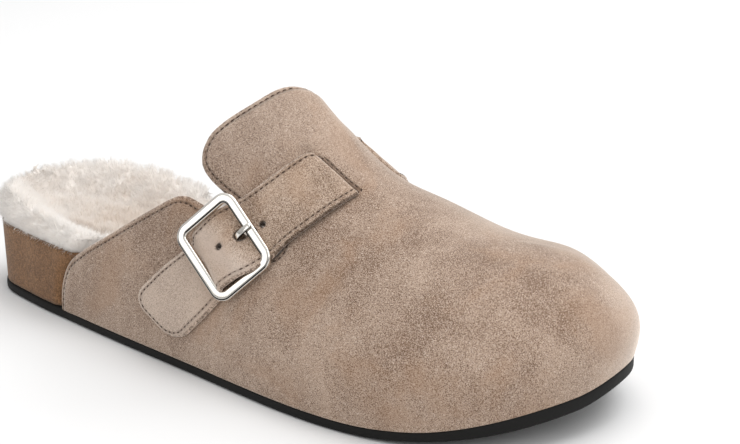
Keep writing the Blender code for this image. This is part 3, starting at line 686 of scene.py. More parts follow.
def band_point(a, w, lift):
    """Point at run a along the strap (lateral positive), w across it, lift off the upper."""
    place, normal = band_frame(np.array([float(a)]), float(w))
    return place[0] + normal[0] * lift


def buckle_frame_axes():
    """Buckle's foot on the upper and its directions: along the strap, across it, outwards."""
    foot = band_point(BUCKLE_AT, 0, 0)
    along = band_point(BUCKLE_AT - 9, 0, 0) - band_point(BUCKLE_AT + 9, 0, 0)
    across = band_point(BUCKLE_AT, 10, 0) - band_point(BUCKLE_AT, -10, 0)
    along = unit(along)
    out = unit(np.cross(across, along))
    if out[1] > 0:
        out = -out
    across = np.cross(along, out)
    if across[0] < 0:
        across = -across
    return foot, along, *turned(across, out, -BUCKLE_TILT)


BUCKLE_AXES = buckle_frame_axes()


def at_buckle(along, across, lift):
    """Design point from the buckle's own measures."""
    foot, u, w, n = BUCKLE_AXES
    return foot + along * u + across * w + lift * n


def add_node(tree, kind, settings=None, inputs=None):
    """Adds a node: its settings first, then the values or links of its sockets."""
    made = tree.nodes.new(kind)
    for name, value in (settings or {}).items():
        setattr(made, name, value)
    for socket, value in (inputs or {}).items():
        if isinstance(value, Value):
            value = value.socket
        if isinstance(value, bpy.types.NodeSocket):
            tree.links.new(value, made.inputs[socket])
        else:
            made.inputs[socket].default_value = value
    return made


class Value:
    """A shader socket that takes part in arithmetic."""

    def __init__(self, finish, socket):
        self.finish = finish
        self.socket = socket

    def maths(self, operation, *terms):
        inputs = dict(enumerate(terms))
        return self.finish.node("ShaderNodeMath", "Value", {"operation": operation}, inputs)

    def __add__(self, other):
        return self.maths("ADD", self, other)

    __radd__ = __add__

    def __sub__(self, other):
        return self.maths("SUBTRACT", self, other)

    def __rsub__(self, other):
        return self.maths("SUBTRACT", other, self)

    def __mul__(self, other):
        return self.maths("MULTIPLY", self, other)

    __rmul__ = __mul__

    def __abs__(self):
        return self.maths("ABSOLUTE", self)


class Finish:
    """A material and the nodes that make its look."""

    def __init__(self, name, **constants):
        self.material = bpy.data.materials.new(name)
        self.material.use_nodes = True
        self.tree = self.material.node_tree
        self.shader = self.tree.nodes["Principled BSDF"]
        for socket, value in constants.items():
            self.shader.inputs[socket.replace("_", " ")].default_value = value

    def node(self, kind, output, settings=None, inputs=None):
        """Adds a node and gives one of its outputs as a value."""
        return Value(self, add_node(self.tree, kind, settings, inputs).outputs[output])

    def place(self):
        return self.node("ShaderNodeTexCoord", "Object")

    def noise(self, scale, detail=2.0, roughness=0.5, vector=None, distortion=0.0):
        """Noise of a grain size: scale is grains to the metre."""
        inputs = {"Vector": vector or self.place(), "Scale": scale, "Detail": detail}
        inputs.update({"Roughness": roughness, "Distortion": distortion})
        return self.node("ShaderNodeTexNoise", "Fac", None, inputs)

    def attribute(self, name):
        return self.node("ShaderNodeAttribute", "Fac", {"attribute_name": name})

    def step(self, value, low, high, start=0.0, end=1.0):
        """Soft step of a value between two limits."""
        inputs = {"Value": value, "From Min": low, "From Max": high, "To Min": start, "To Max": end}
        settings = {"interpolation_type": "SMOOTHSTEP"}
        return self.node("ShaderNodeMapRange", "Result", settings, inputs)

    def mix(self, factor, low, high):
        """Colour between two colours."""
        inputs = {0: factor, 6: low if isinstance(low, Value) else (*low, 1)}
        inputs[7] = high if isinstance(high, Value) else (*high, 1)
        return self.node("ShaderNodeMix", 2, {"data_type": "RGBA"}, inputs)

    def bump(self, height, distance, strength=1.0):
        inputs = {"Height": height, "Distance": distance, "Strength": strength}
        return self.node("ShaderNodeBump", "Normal", None, inputs)

    def feed(self, **links):
        """Links values to the shader's sockets."""
        for socket, value in links.items():
            self.tree.links.new(value.socket, self.shader.inputs[socket.replace("_", " ")])
        return self.material


def suede(name, dark, light, seam_at, raw_tone):
    """Napped suede: speckled pile, brushed patches, pale raw edges and a pressed-in seam line; painted sheen
    and highlight where it is paler, painted shade in holes, by the slit and along the strap's raw lower
    edge.
    """
    f = Finish(name, Roughness=0.95, Sheen_Weight=SUEDE_SHEEN, Sheen_Roughness=0.42,
               Sheen_Tint=(*SHEEN_TINT, 1), Specular_IOR_Level=0.1)
    inputs = {0: f.place(), 1: BRUSH_WAY}
    drawn = f.node("ShaderNodeVectorMath", "Vector", {"operation": "MULTIPLY"}, inputs)
    broad = f.noise(24, 2, 0.5, distortion=0.6)
    brush = f.noise(62, 4, 0.62, drawn, 1.0)
    pile = f.noise(1150, 2, 0.6)
    speck = f.noise(3800, 1, 0.5)
    # Paler tone, with painted sheen and highlight where the shoe sets them.
    worn = f.attribute("worn")
    tone = 0.5 + (broad - 0.5) * BROAD_SHARE + (brush - 0.5) * BRUSH_SHARE
    tone = tone + (pile - 0.5) * PILE_SHARE + (speck - 0.5) * SPECK_SHARE + worn * PALENESS_AND_SHEEN_SHARE
    colour = f.mix(f.step(tone, 0.0, 1.0), dark, light)
    fleck = f.noise(2700, 1, 0.5)
    colour = f.mix(f.step(fleck, 0.56, 0.7) * 0.6, colour, FLECK)
    earthy = f.noise(34, 3, 0.55, distortion=0.8)
    colour = f.mix(f.step(earthy, 0.48, 0.7) * 0.36, colour, EARTHY)
    # Painted sheen and highlight, and the paler tab and flap top.
    colour = f.mix(worn * 0.16, colour, PALE_AND_SHEEN_TONE)
    edge = f.attribute("edge_mm")
    seam = 1 - f.step(abs(edge - seam_at), 0.1, 0.7)
    # The seam line is darker; painted shade darkens it further by the slit's lip.
    colour = f.mix(seam * (0.34 + f.attribute("sunk") * 0.3), colour, tuple(0.5 * c for c in dark))
    raw = 1 - f.step(edge, 0.05, 0.7)
    ragged = f.step(pile * 0.7 + speck * 0.3, 0.42, 0.62)
    torn = f.mix(ragged, tuple(raw_tone * c for c in dark), RAW_EDGE)
    colour = f.mix(raw * 0.75, colour, torn)
    # Rough edge and painted shade along the strap's lower edge.
    fray_shade_mask = (1 - f.step(edge + speck * 1.2, 0.55, 1.3)) * f.attribute("frayed")
    colour = f.mix(fray_shade_mask * 0.75, colour, FRAY_AND_SHADE_TONE)
    # Painted shade in holes.
    colour = f.mix(f.attribute("pit") * 0.9, colour, HOLE_SHADE)
    height = pile * 0.5 + speck * 0.45 + brush * 0.4 - seam * 1.6
    return f.feed(Base_Color=colour, Normal=f.bump(height, 0.00035, 0.5))


def fleece_finish(name, glow):
    """Cream pile, darker and warmer down in the dish, with painted shade where the roll meets the dish and
    inside the toe box; a painted glow in its own colour lights it from within.
    """
    f = Finish(name, Roughness=0.9, Sheen_Weight=0.3, Sheen_Roughness=0.6, Specular_IOR_Level=0.1,
               Emission_Strength=glow)
    warm = f.noise(60, 3, 0.5)
    fine = f.noise(700, 2, 0.5)
    # Darker and warmer in the dish; painted shade where the roll meets the dish and inside the toe box.
    deep = f.attribute("deep")
    tone = f.step(warm * 0.8 + fine * 0.25 - deep * 0.9, -0.35, 0.6)
    colour = f.mix(tone, FLEECE_LOW, FLEECE_HIGH)
    # Painted shade inside the toe box.
    colour = f.mix(f.attribute("inside") * 0.85, colour, FLEECE_TOE_BOX_SHADE)
    # Painted glow in the fleece's own colour.
    lit = f.mix(f.attribute("thin"), (0.0, 0.0, 0.0), colour)
    return f.feed(Base_Color=colour, Emission_Color=lit, Normal=f.bump(fine, 0.0003, 0.4))


def wrap_finish():
    """Brown napped wrap of the footbed's side."""
    f = Finish("brown_wrap", Roughness=0.92, Sheen_Weight=0.2, Sheen_Roughness=0.5,
               Specular_IOR_Level=0.15)
    patch = f.noise(80, 3, 0.55)
    pile = f.noise(700, 3, 0.65)
    speck = f.noise(1800, 2, 0.6)
    tone = 0.5 + (patch - 0.5) * 0.3 + (pile - 0.5) * 0.5 + (speck - 0.5) * 1.5
    colour = f.mix(f.step(tone, 0.1, 0.9), WRAP_DARK, WRAP_LIGHT)
    return f.feed(Base_Color=colour, Normal=f.bump(pile + speck, 0.0004, 0.5))


def rubber_finish():
    """Matt black rubber with a faint moulded grain."""
    f = Finish("black_rubber", Specular_IOR_Level=0.2)
    grain = f.noise(900, 3, 0.6)
    dust = f.noise(70, 3, 0.6)
    colour = f.mix(dust, RUBBER_BLACK, RUBBER_DUST)
    return f.feed(Base_Color=colour, Roughness=0.5 + dust * 0.25, Normal=f.bump(grain, 0.0002, 0.35))


def nickel_finish():
    """Polished nickel with fine handling marks, and a painted dark reflection on faces that look down."""
    f = Finish("polished_nickel", Metallic=1.0)
    marks = f.noise(240, 3, 0.6)
    wall = f.attribute("side_wall")
    colour = f.mix(marks, NICKEL_LOW, NICKEL_HIGH)
    # Painted dark reflection on faces that look down.
    colour = f.mix(wall, colour, NICKEL_DARK_REFLECTION)
    return f.feed(Base_Color=colour, Roughness=0.06 + marks * 0.08)


def thread_finish():
    """Dark brown waxed thread."""
    f = Finish("dark_thread", Specular_IOR_Level=0.3)
    twist = f.noise(2600, 2, 0.5)
    colour = f.mix(twist, THREAD_DARK, THREAD_LIGHT)
    return f.feed(Base_Color=colour, Roughness=0.55 + twist * 0.25)


def leather_finish():
    """Plain taupe leather of the buckle's loop."""
    f = Finish("loop_leather", Specular_IOR_Level=0.3)
    grain = f.noise(800, 3, 0.6)
    colour = f.mix(grain, LEATHER_DARK, LEATHER_LIGHT)
    return f.feed(Base_Color=colour, Roughness=0.6 + grain * 0.3, Normal=f.bump(grain, 0.0002, 0.4))


def floor_finish():
    """Plain pale floor."""
    f = Finish("pale_floor", Specular_IOR_Level=0.0)
    soft = f.noise(3, 2, 0.5)
    return f.feed(Base_Color=f.mix(soft, FLOOR_LOW, FLOOR_HIGH), Roughness=0.85 + soft * 0.1)


def placed(points):
    """Design points in metres in the row's frame, toe corner lifted and heel drawn in a little."""
    p = np.array(points, float)
    ahead = TOE_WAY[0] * p[..., 0] + TOE_WAY[1] * p[..., 1]
    p[..., 2] += TOE_LIFT * smooth(199, 221, ahead) * (1 - smooth(12, 45, p[..., 2]))
    p[..., 0] += HEEL_PULL * (1 - smooth(0, 42, p[..., 0]))
    return (p - np.array([MIDDLE_X, MIDDLE_Y, 0])) * MM


def linked(name, data):
    """New object put into the scene."""
    made = bpy.data.objects.new(name, data)
    bpy.context.scene.collection.objects.link(made)
    return made


def smooth_mesh(name, points, faces):
    """Mesh with smooth faces from points in metres."""
    mesh = bpy.data.meshes.new(name)
    mesh.from_pydata(points.tolist(), [], [tuple(int(i) for i in f) for f in faces])
    mesh.polygons.foreach_set("use_smooth", np.ones(len(mesh.polygons), bool))
    return mesh


def add_values(mesh, attributes):
    """Stores named values at a mesh's points, for its finish and its hairs."""
    for key, values in attributes.items():
        data = mesh.attributes.new(key, "FLOAT", "POINT").data
        data.foreach_set("value", np.asarray(values, np.float32))


def piece(name, points, faces, materials, attributes=None, slots=None):
    """Smooth mesh object from design points."""
    mesh = smooth_mesh(name, placed(points), faces)
    for material in materials:
        mesh.materials.append(material)
    add_values(mesh, attributes or {})
    if slots is not None:
        mesh.polygons.foreach_set("material_index", np.asarray(slots, np.int32))
    mesh.update()
    return linked(name, mesh)


def outwards(made):
    """Turns a closed mesh's faces outwards."""
    shape = bmesh.new()
    shape.from_mesh(made.data)
    bmesh.ops.recalc_face_normals(shape, faces=shape.faces)
    if shape.calc_volume(signed=True) < 0:
        bmesh.ops.reverse_faces(shape, faces=shape.faces)
    shape.to_mesh(made.data)
    shape.free()
    return made


def dress(made, slot, *nodes):
    """Seats a finished piece on the shoe and hides the solids it stands for."""
    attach(made, "root")
    if nodes:
        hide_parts(*nodes)
    return made


def ring_faces(rings, size, closed):
    """Quads between successive rings of `size` points, with end caps or a closed turn."""
    faces = []
    for k in range(rings if closed else rings - 1):
        a, b = k * size, ((k + 1) % rings) * size
        for j in range(size):
            i = (j + 1) % size
            faces.append((a + j, a + i, b + i, b + j))
    if not closed:
        faces.append(tuple(range(size)))
        faces.append(tuple(range((rings - 1) * size, rings * size)))
    return faces


def trimmed(data, keep, triangles):
    """Trims triangles to where keep is above 0; rows of data are shared out along cut edges."""
    inside = keep > 0
    count = inside[triangles].sum(1)
    kept = triangles[count == 3].tolist()
    rows = []
    made = {}

    def crossing(i, j):
        key = (min(i, j), max(i, j))
        if key not in made:
            share = keep[i] / (keep[i] - keep[j])
            made[key] = len(data) + len(rows)
            rows.append(data[i] + share * (data[j] - data[i]))
        return made[key]

    for tri in triangles[(count == 1) | (count == 2)]:
        odd = 1 if inside[tri].sum() == 1 else 0
        k = [n for n in range(3) if inside[tri[n]] == odd][0]
        a, b, c = (int(tri[(k + n) % 3]) for n in range(3))
        ab, ac = crossing(a, b), crossing(a, c)
        if odd:
            kept.append([a, ab, ac])
        else:
            kept.append([ab, b, c])
            kept.append([ab, c, ac])
    kept = np.array(kept)
    whole = np.vstack([data] + [np.array(rows)] * bool(rows))
    used, kept = np.unique(kept, return_inverse=True)
    return whole[used], kept.reshape(-1, 3)


def edge_pairs(triangles):
    """Directed edges of triangles."""
    return np.vstack([triangles[:, [0, 1]], triangles[:, [1, 2]], triangles[:, [2, 0]]])


def rim_edges(triangles):
    """Directed edges that only one triangle has."""
    there = {(int(i), int(j)) for i, j in edge_pairs(triangles)}
    return [(i, j) for i, j in there if (j, i) not in there]


def shell(outer, inner, triangles, roll):
    """Closed wall between two matching faces, its rims rounded outwards by `roll`."""
    size = len(outer)
    rims = rim_edges(triangles)
    through = outer - inner
    out = {}
    for i, j in rims:
        push = np.cross(outer[j] - outer[i], through[i] + through[j])
        push = push / max(np.linalg.norm(push), 1e-9)
        for k in (i, j):
            out[k] = out.get(k, 0) + push
    levels = (0.3, 0.7)
    index = {}
    extra = []
    for k, push in out.items():
        push = push / max(np.linalg.norm(push), 1e-9)
        for level in levels:
            index[(k, level)] = 2 * size + len(extra)
            extra.append(outer[k] - through[k] * level + push * roll)
    faces = triangles.tolist() + (triangles[:, ::-1] + size).tolist()
    for i, j in rims:
        down_i = [i] + [index[(i, v)] for v in levels] + [i + size]
        down_j = [j] + [index[(j, v)] for v in levels] + [j + size]
        for n in range(3):
            faces.append((down_j[n], down_i[n], down_i[n + 1], down_j[n + 1]))
    owners = np.array([k for k in out for _ in levels], int)
    points = np.vstack([outer, inner, np.array(extra)])
    source = np.concatenate([np.arange(size), np.arange(size), owners])
    inside = np.zeros(len(faces), int)
    inside[len(triangles): 2 * len(triangles)] = 1
    return points, faces, source, inside


def grid_triangles(index):
    """Triangles of a grid of point numbers, diagonals turned about."""
    a, b = index[:-1, :-1], index[1:, :-1]
    c, d = index[1:, 1:], index[:-1, 1:]
    flip = (np.add.outer(np.arange(a.shape[0]), np.arange(a.shape[1])) % 2).astype(bool)
    one = np.where(flip[..., None], np.stack([a, b, c], -1), np.stack([a, b, d], -1))
    two = np.where(flip[..., None], np.stack([a, c, d], -1), np.stack([b, c, d], -1))
    return np.vstack([one.reshape(-1, 3), two.reshape(-1, 3)])


def facing(points, normals, triangles):
    """Triangles turned to look along the normals, without those that have no area."""
    p = points[triangles]
    n = np.cross(p[:, 1] - p[:, 0], p[:, 2] - p[:, 0])
    triangles = triangles[np.linalg.norm(n, axis=1) > 1e-9]
    p = points[triangles]
    n = np.cross(p[:, 1] - p[:, 0], p[:, 2] - p[:, 0])
    if np.sum(n * normals[triangles[:, 0]]) < 0:
        triangles = triangles[:, ::-1]
    return triangles


def level_lines(data, values, triangles):
    """Lines where values cross 0 on a surface, as arrays of data rows in order."""
    rows = {}
    near = {}
    for tri in triangles[np.abs(np.sign(values[triangles] + 1e-12).sum(1)) < 3]:
        ends = []
        for i, j in ((tri[0], tri[1]), (tri[1], tri[2]), (tri[2], tri[0])):
            if (values[i] > 0) != (values[j] > 0):
                key = (min(i, j), max(i, j))
                share = values[i] / (values[i] - values[j])
                rows[key] = data[i] + share * (data[j] - data[i])
                ends.append(key)
        if len(ends) == 2:
            near.setdefault(ends[0], []).append(ends[1])
            near.setdefault(ends[1], []).append(ends[0])
    lines = []
    left = set(near)
    starts = sorted(k for k in near if len(near[k]) == 1)
    while left:
        here = next((k for k in starts if k in left), None)
        if here is None:
            here = min(left)
        line = [here]
        left.discard(here)
        while True:
            ahead = [k for k in near[here] if k in left]
            if not ahead:
                break
            here = ahead[0]
            left.discard(here)
            line.append(here)
        lines.append(np.array([rows[k] for k in line]))
    return lines


def soothed(line, rounds):
    """A line with its small zigzags averaged out, ends kept."""
    line = line.copy()
    for _ in range(rounds):
        line[1:-1] = 0.25 * line[:-2] + 0.5 * line[1:-1] + 0.25 * line[2:]
    return line


def parted(line, keep):
    """Runs of a line's rows where keep holds."""
    breaks = np.flatnonzero(np.diff(keep.astype(int))) + 1
    return [part for part, kept in zip(np.split(line, breaks), np.split(keep, breaks)) if kept[0]]


def off_throat(line):
    """Where a seam of the collar is clear of the throat's top, which folds in."""
    across = line[:, 1] - column(RIDGE, "y", line[:, 0])
    return (line[:, 2] < THROAT_TOP) | (across < THROAT_CLEAR)


def collar_outline():
    """Side profile of the space behind quarter and flap, with notch and relief hole, as (x, z)."""
    lower = curve(QUARTER_EDGE, 12, False)
    over = curve(FLAP_EDGE, 12, False)
    start = math.atan2(lower[-1][1] - RELIEF_HOLE.z, lower[-1][0] - RELIEF_HOLE.x)
    end = math.atan2(over[0][1] - RELIEF_HOLE.z, over[0][0] - RELIEF_HOLE.x)
    turn = np.linspace(start, end, 40)
    hole = np.array(RELIEF_HOLE) + RELIEF_R * np.stack([np.cos(turn), np.sin(turn)], -1)
    return np.vstack([lower[:-1], hole, over[1:], np.array(COLLAR_FAR, float)])


def outline_distance(points, outline):
    """Distance of (x, z) points from a closed outline, negative inside, and the way out."""
    best = np.full(len(points), 1e9)
    away = np.zeros((len(points), 2))
    inside = np.zeros(len(points), bool)
    for p0, p1 in zip(outline, np.roll(outline, -1, axis=0)):
        d = p1 - p0
        rel = points - p0
        s = np.clip(rel @ d / max(d @ d, 1e-12), 0, 1)
        gap = rel - s[:, None] * d
        far = np.hypot(gap[:, 0], gap[:, 1])
        nearer = far < best
        best = np.where(nearer, far, best)
        away[nearer] = gap[nearer]
        crosses = (p0[1] > points[:, 1]) != (p1[1] > points[:, 1])
        if p0[1] != p1[1]:
            meets = (p1[0] - p0[0]) * (points[:, 1] - p0[1]) / (p1[1] - p0[1]) + p0[0]
            inside ^= crosses & (points[:, 0] < meets)
    sign = np.where(inside, -1.0, 1.0)
    away = away / np.maximum(best, 1e-9)[:, None] * sign[:, None]
    return best * sign, away


def rear_edge(past):
    """Rear edge of the strap, rounded where it turns down into its slit."""
    s = np.clip(past, 0, SLIT_ROUND)
    return -STRAP_WIDTH / 2 + SLIT_ROUND - np.sqrt(SLIT_ROUND**2 - (SLIT_ROUND - s) ** 2)


def dents(places):
    """Broad soft hollows of the broken-in upper, placed in plan."""
    lift = np.zeros(places.shape[:-1])
    for dent in DENTS:
        ahead = (places[..., 0] - dent.x) / dent.long
        beside = (places[..., 1] - dent.y) / dent.wide
        lift += dent.rise * np.exp(-(ahead**2 + beside**2))
    return lift * smooth(15, 30, places[..., 2])


def soft_shape(places, side):
    """Soft troughs of the broken-in upper, placed in side view."""
    lift = np.zeros(places.shape[:-1])
    for fold in FOLDS:
        if fold.side != side:
            continue
        start = np.array([fold.x0, fold.z0])
        run = np.array([fold.x1, fold.z1]) - start
        rel = places[..., [0, 2]] - start
        s = np.clip((rel @ run) / (run @ run), 0, 1)
        gap = np.linalg.norm(rel - s[..., None] * run, axis=-1)
        ends = np.clip(np.sin(math.pi * (0.08 + 0.84 * s)), 0, 1)
        lift += fold.rise * ends * np.exp(-((gap / fold.width) ** 2))
    return lift


def hem_drop(x):
    """How far the suede's hem laps the outsole's side; it ends at the toe's tip."""
    return HEM * (1 - 0.97 * smooth(222, 256, x))


def upper_half(side, q, t):
    """One side of the upper: place, normal, distance from the strap's window and the slit's lip."""
    p = upper_form(side, q[:, None], t[None, :])
    normal = upper_normal(side, q[:, None], np.minimum(t, NEAR_RIDGE)[None, :])
    past = band_run(side, p, np.broadcast_to(t, p.shape[:2])) - BRIDGE_END[side]
    across = strap_across(p)
    beside = np.abs(across) - STRAP_WIDTH / 2
    raised = BRIDGE_MIDDLE + 0 * past
    if side == LATERAL:
        raised = raised + (SLIT_LIFT - BRIDGE_MIDDLE) * smooth(-12, -2, past)
    lift = raised * (1 - smooth(-0.5, 2.5, past)) * (1 - smooth(-1, 9, beside))
    lift = lift + soft_shape(p, side) + dents(p)
    front = STRAP_WIDTH / 2 + SLIT_MARGIN - across
    behind = across - rear_edge(past) + SLIT_MARGIN
    window = np.minimum(np.minimum(past, SLIT_WINDOW - past), np.minimum(front, behind))
    lip = np.where((past < 0.6) & (np.minimum(front, behind) > -0.6), np.maximum(-past, 0), FAR_OFF)
    placed_out = p + normal * lift[..., None]
    drop = np.zeros((len(q), 1, 3))
    drop[:, 0, 2] = hem_drop(placed_out[:, 0, 0])
    hem = [np.concatenate([placed_out[:, :1] - drop * s, normal[:, :1]], -1) for s in (1, 0.5)]
    body = np.concatenate([placed_out, normal], -1)
    both = np.concatenate([*hem, body], 1)
    far = np.full((len(q), 2), FAR_OFF)
    window = np.concatenate([far, -window], 1)
    lip = np.concatenate([far, lip], 1)
    return np.concatenate([both, window[..., None], lip[..., None]], -1)


def eased(points, triangles, weight, rounds):
    """Points drawn step by step towards the mean of their neighbours, by a weight each."""
    pairs = edge_pairs(triangles)
    pairs = np.unique(np.vstack([pairs, pairs[:, ::-1]]), axis=0)
    count = np.maximum(np.bincount(pairs[:, 0], minlength=len(points)), 1)
    for _ in range(rounds):
        near = points[pairs[:, 1]]
        mean = [np.bincount(pairs[:, 0], near[:, k], len(points)) / count for k in range(3)]
        points = points + weight[:, None] * (np.stack(mean, -1) - points)
    return points


def upper_data():
    """Grid of the upper's outer face: place, normal, distance from window, from the slit's lip and
    from the collar."""
    q = np.linspace(float(share_at(UPPER_BACK)), 1, UPPER_ROWS)
    t = np.linspace(0, 1, UPPER_COLUMNS)
    left, right = (upper_half(side, q, t) for side in (LATERAL, MEDIAL))
    ridge = (left[:, -1:] + right[:, -1:]) / 2
    rows = np.concatenate([left[:, :-1], ridge, right[:, -2::-1]], 1)
    rows[..., 3:6] = unit(rows[..., 3:6])
    index = np.arange(rows.shape[0] * rows.shape[1]).reshape(rows.shape[:2])
    middle = left.shape[1] - 1
    index[-1, middle + 1:] = index[-1, :middle][::-1]
    data = rows.reshape(-1, rows.shape[-1])
    triangles = facing(data[:, :3], data[:, 3:6], grid_triangles(index))
    on_toe = 0.5 * smooth(182, 205, data[:, 0]) * smooth(24, 40, data[:, 2])
    data[:, :3] = eased(data[:, :3], triangles, on_toe, TOE_EASE)
    gap, away = outline_distance(data[:, [0, 2]], collar_outline())
    tilt = data[:, [3, 5]]
    along = away - (away * tilt).sum(1, keepdims=True) * tilt
    lost = (away * tilt).sum(1) * data[:, 4]
    lean = np.sqrt((along**2).sum(1) + lost**2)
    collar = gap / np.maximum(lean, 0.25)
    ridge_y = column(RIDGE, "y", data[:, 0])
    across = data[:, 1] - ridge_y
    dip = THROAT_DIP * smooth(-4, 11, across)
    dip -= THROAT_RISE * np.exp(-(((across + 7) / THROAT_WIDE) ** 2))
    dip *= smooth(70, 84, data[:, 2])
    return np.column_stack([data, collar - dip]), triangles


def relief_distance(place):
    """Distance from the relief hole's centre in side view."""
    return np.hypot(place[:, 0] - RELIEF_HOLE.x, place[:, 2] - RELIEF_HOLE.z)


def upper(finish, lining):
    """Suede shell with rolled raw edges; its inner face carries the lining."""
    data, triangles = upper_data()
    data, triangles = trimmed(data, np.minimum(data[:, 6], data[:, 8]), triangles)
    place, normal, lip = data[:, :3], data[:, 3:6], data[:, 7]
    shown_lip = np.where(place[:, 1] < 0, lip, FAR_OFF)
    edge_mm = np.clip(np.minimum(data[:, 8], shown_lip + SEAM_IN - SLIT_SEAM_IN), 0, None)
    roll = EDGE_DROP * (1 - smooth(0, 1.4, edge_mm))
    puff = SEAM_PUFF * (smooth(0.2, 1.2, edge_mm) - smooth(1.3, SEAM_IN, edge_mm))
    puff += SEAM_PUFF * 0.7 * (smooth(SEAM_IN, 4.6, edge_mm) - smooth(4.6, 10.0, edge_mm))
    throat = THROAT_DROP * (1 - smooth(0, THROAT_RUN, data[:, 8])) ** 2
    throat *= smooth(THROAT_TOP, 90, place[:, 2])
    outer = place + normal * (puff - roll - throat)[:, None]
    wall = WALL - SLIT_LIP * (1 - smooth(0, 5, lip)) - roll * 0.5 + throat
    inner = place - normal * wall[:, None]
    points, faces, source, inside = shell(outer, inner, triangles, RIM_ROLL)
    # Painted sheen on the toe's front rim, and paler suede towards the flap's top.
    toe_sheen_and_paler_top = TOE_SHEEN * smooth(196, 222, place[:, :2] @ TOE_WAY)
    toe_sheen_and_paler_top += FLAP_PALE * smooth(58, 82, place[:, 2])
    # Painted shade on the lining inside the toe box.
    toe_box_shade = smooth(142, 160, place[:, 0])
    # Painted shade round the relief hole, on the lateral side.
    pit = 1 - smooth(0.3, 1.3, relief_distance(place) - RELIEF_R)
    attributes = {"edge_mm": edge_mm[source], "worn": toe_sheen_and_paler_top[source], "inside": toe_box_shade[source]}
    attributes["pit"] = (pit * (place[:, 1] < 0))[source]
    # Painted shade along the seam by the slit's lip.
    attributes["sunk"] = (1 - smooth(2, 4, shown_lip))[source]
    made = piece("suede_upper", points, faces, [finish, lining], attributes, inside)
    # Near the cuts and the relief hole the inner face keeps the darker suede instead of the lining: a
    # stand-in for the shade in the openings.
    from_cut = np.minimum(np.minimum(lip, np.abs(data[:, 6])), relief_distance(place) - RELIEF_R)
    bare = from_cut[source] < LINING_OFF
    for face in made.data.polygons:
        if face.material_index == 1 and bare[list(face.vertices)].all():
            face.material_index = 0
    dress(made, "suede", "upper")
    return data, triangles


def strap_data():
    """Grid of the strap's upper face: place, normal off the upper, distance from its edge and from
    its holes, how pale it is with its painted highlight, how dark its raw lower edge is with painted shade,
    and its own normal."""
    a = np.linspace(STRAP_SEWN_END - 0.5, STRAP_TAB_END + 0.5, STRAP_ROWS)
    half = STRAP_WIDTH / 2 + TAB_FLARE + 0.5
    w = np.linspace(-half, half, STRAP_COLUMNS)
    foot, axis, across_axis, _ = BUCKLE_AXES
    columns = []
    for value in w:
        p, n = band_frame(a, value)
        p = p + n * dents(p)[:, None]
        along = (p - foot) @ axis
        beside = (p - foot) @ across_axis
        past = np.abs(a) - np.where(a >= 0, BRIDGE_END[LATERAL], BRIDGE_END[MEDIAL])
        rest = np.where(a >= 0, STRAP_REST, STRAP_REST_MEDIAL)
        dive = np.where(a >= 0, SLIT_STRAP_LOW, SLIT_STRAP_LOW - 0.8)
        lift = STRAP_UNDER + (dive - STRAP_UNDER) * smooth(-7.0, 0.0, past)
        lift = lift + (rest - dive) * smooth(-0.2, 1.6, past)
        hump = np.where(along < 0, smooth(HUMP_TOP_TAB, HUMP_FOOT, -along),
                        smooth(HUMP_TOP_SLIT, HUMP_FOOT, along))
        lift = lift + (HUMP_LIFT - STRAP_REST) * (1 - hump)
        gape = smooth(4, 11, value) * smooth(16, 26, a) * (1 - smooth(40, 50, a))
        lift = lift + STRAP_GAPE * gape
        holes = [np.hypot(along - HOLE_MIDDLE - k * HOLE_STEP, beside + k * HOLE_ASIDE) - r
                 for k, r in ((-1, HOLE_R), (0, HOLE_PRONG_R), (1, HOLE_R))]
        flare = TAB_FLARE * smooth(BUCKLE_AT + 12, BUCKLE_AT + 28, a)
        body = strap_inside(a, value * STRAP_WIDTH / (STRAP_WIDTH + 2 * flare))
        body = np.minimum(body, np.where(past < SLIT_ROUND, value - rear_edge(past), body))
        if value < 0:
            body = body + STRAP_SPREAD * np.exp(-(((a - STRAP_SPREAD_AT) / 9) ** 2))
        else:
            body = body + STRAP_SPREAD_FRONT * np.exp(-(((a - STRAP_SPREAD_FRONT_AT) / 8) ** 2))
        # Paler towards the tab, and a painted highlight on the arch over the centre bar.
        worn = TAB_PALE * smooth(BUCKLE_AT - 7, BUCKLE_AT + 3, a)
        worn += ARCH_HIGHLIGHT * np.exp(-(((a - BUCKLE_AT - 1.5) / 4) ** 2))
        # Rough edge and painted shade along the lower edge between the slit and the buckle.
        frayed = smooth(4, 8, value) * smooth(0.5, 4, past) * (a > 0) * (1 - smooth(44, 54, a))
        top = p + n * (lift + STRAP_THICK)[:, None]
        columns.append(np.column_stack([top, n, body, np.min(holes, 0), worn, frayed]))
    rows = np.stack(columns, 1)
    along_way = np.gradient(rows[..., :3], axis=0)
    across_way = np.gradient(rows[..., :3], axis=1)
    own = np.cross(along_way, across_way)
    own /= np.maximum(np.linalg.norm(own, axis=-1, keepdims=True), 1e-9)
    own *= np.sign((own * rows[..., 3:6]).sum(-1, keepdims=True))
    rows = np.concatenate([rows, own], -1)
    index = np.arange(rows.shape[0] * rows.shape[1]).reshape(rows.shape[:2])
    data = rows.reshape(-1, rows.shape[-1])
    return data, facing(data[:, :3], data[:, 3:6], grid_triangles(index))


def strap_inside(a, w):
    """Distance in from the strap's edge, with rounded corners at both ends."""
    middle = (STRAP_TAB_END + STRAP_SEWN_END) / 2
    corner = np.where(a > middle, STRAP_CORNER, STRAP_SEWN_CORNER)
    x = np.abs(a - middle) - (STRAP_TAB_END - STRAP_SEWN_END) / 2 + corner
    y = abs(w) - STRAP_WIDTH / 2 + corner
    out = np.hypot(np.maximum(x, 0), np.maximum(y, 0))
    return corner - out - np.minimum(np.maximum(x, y), 0)


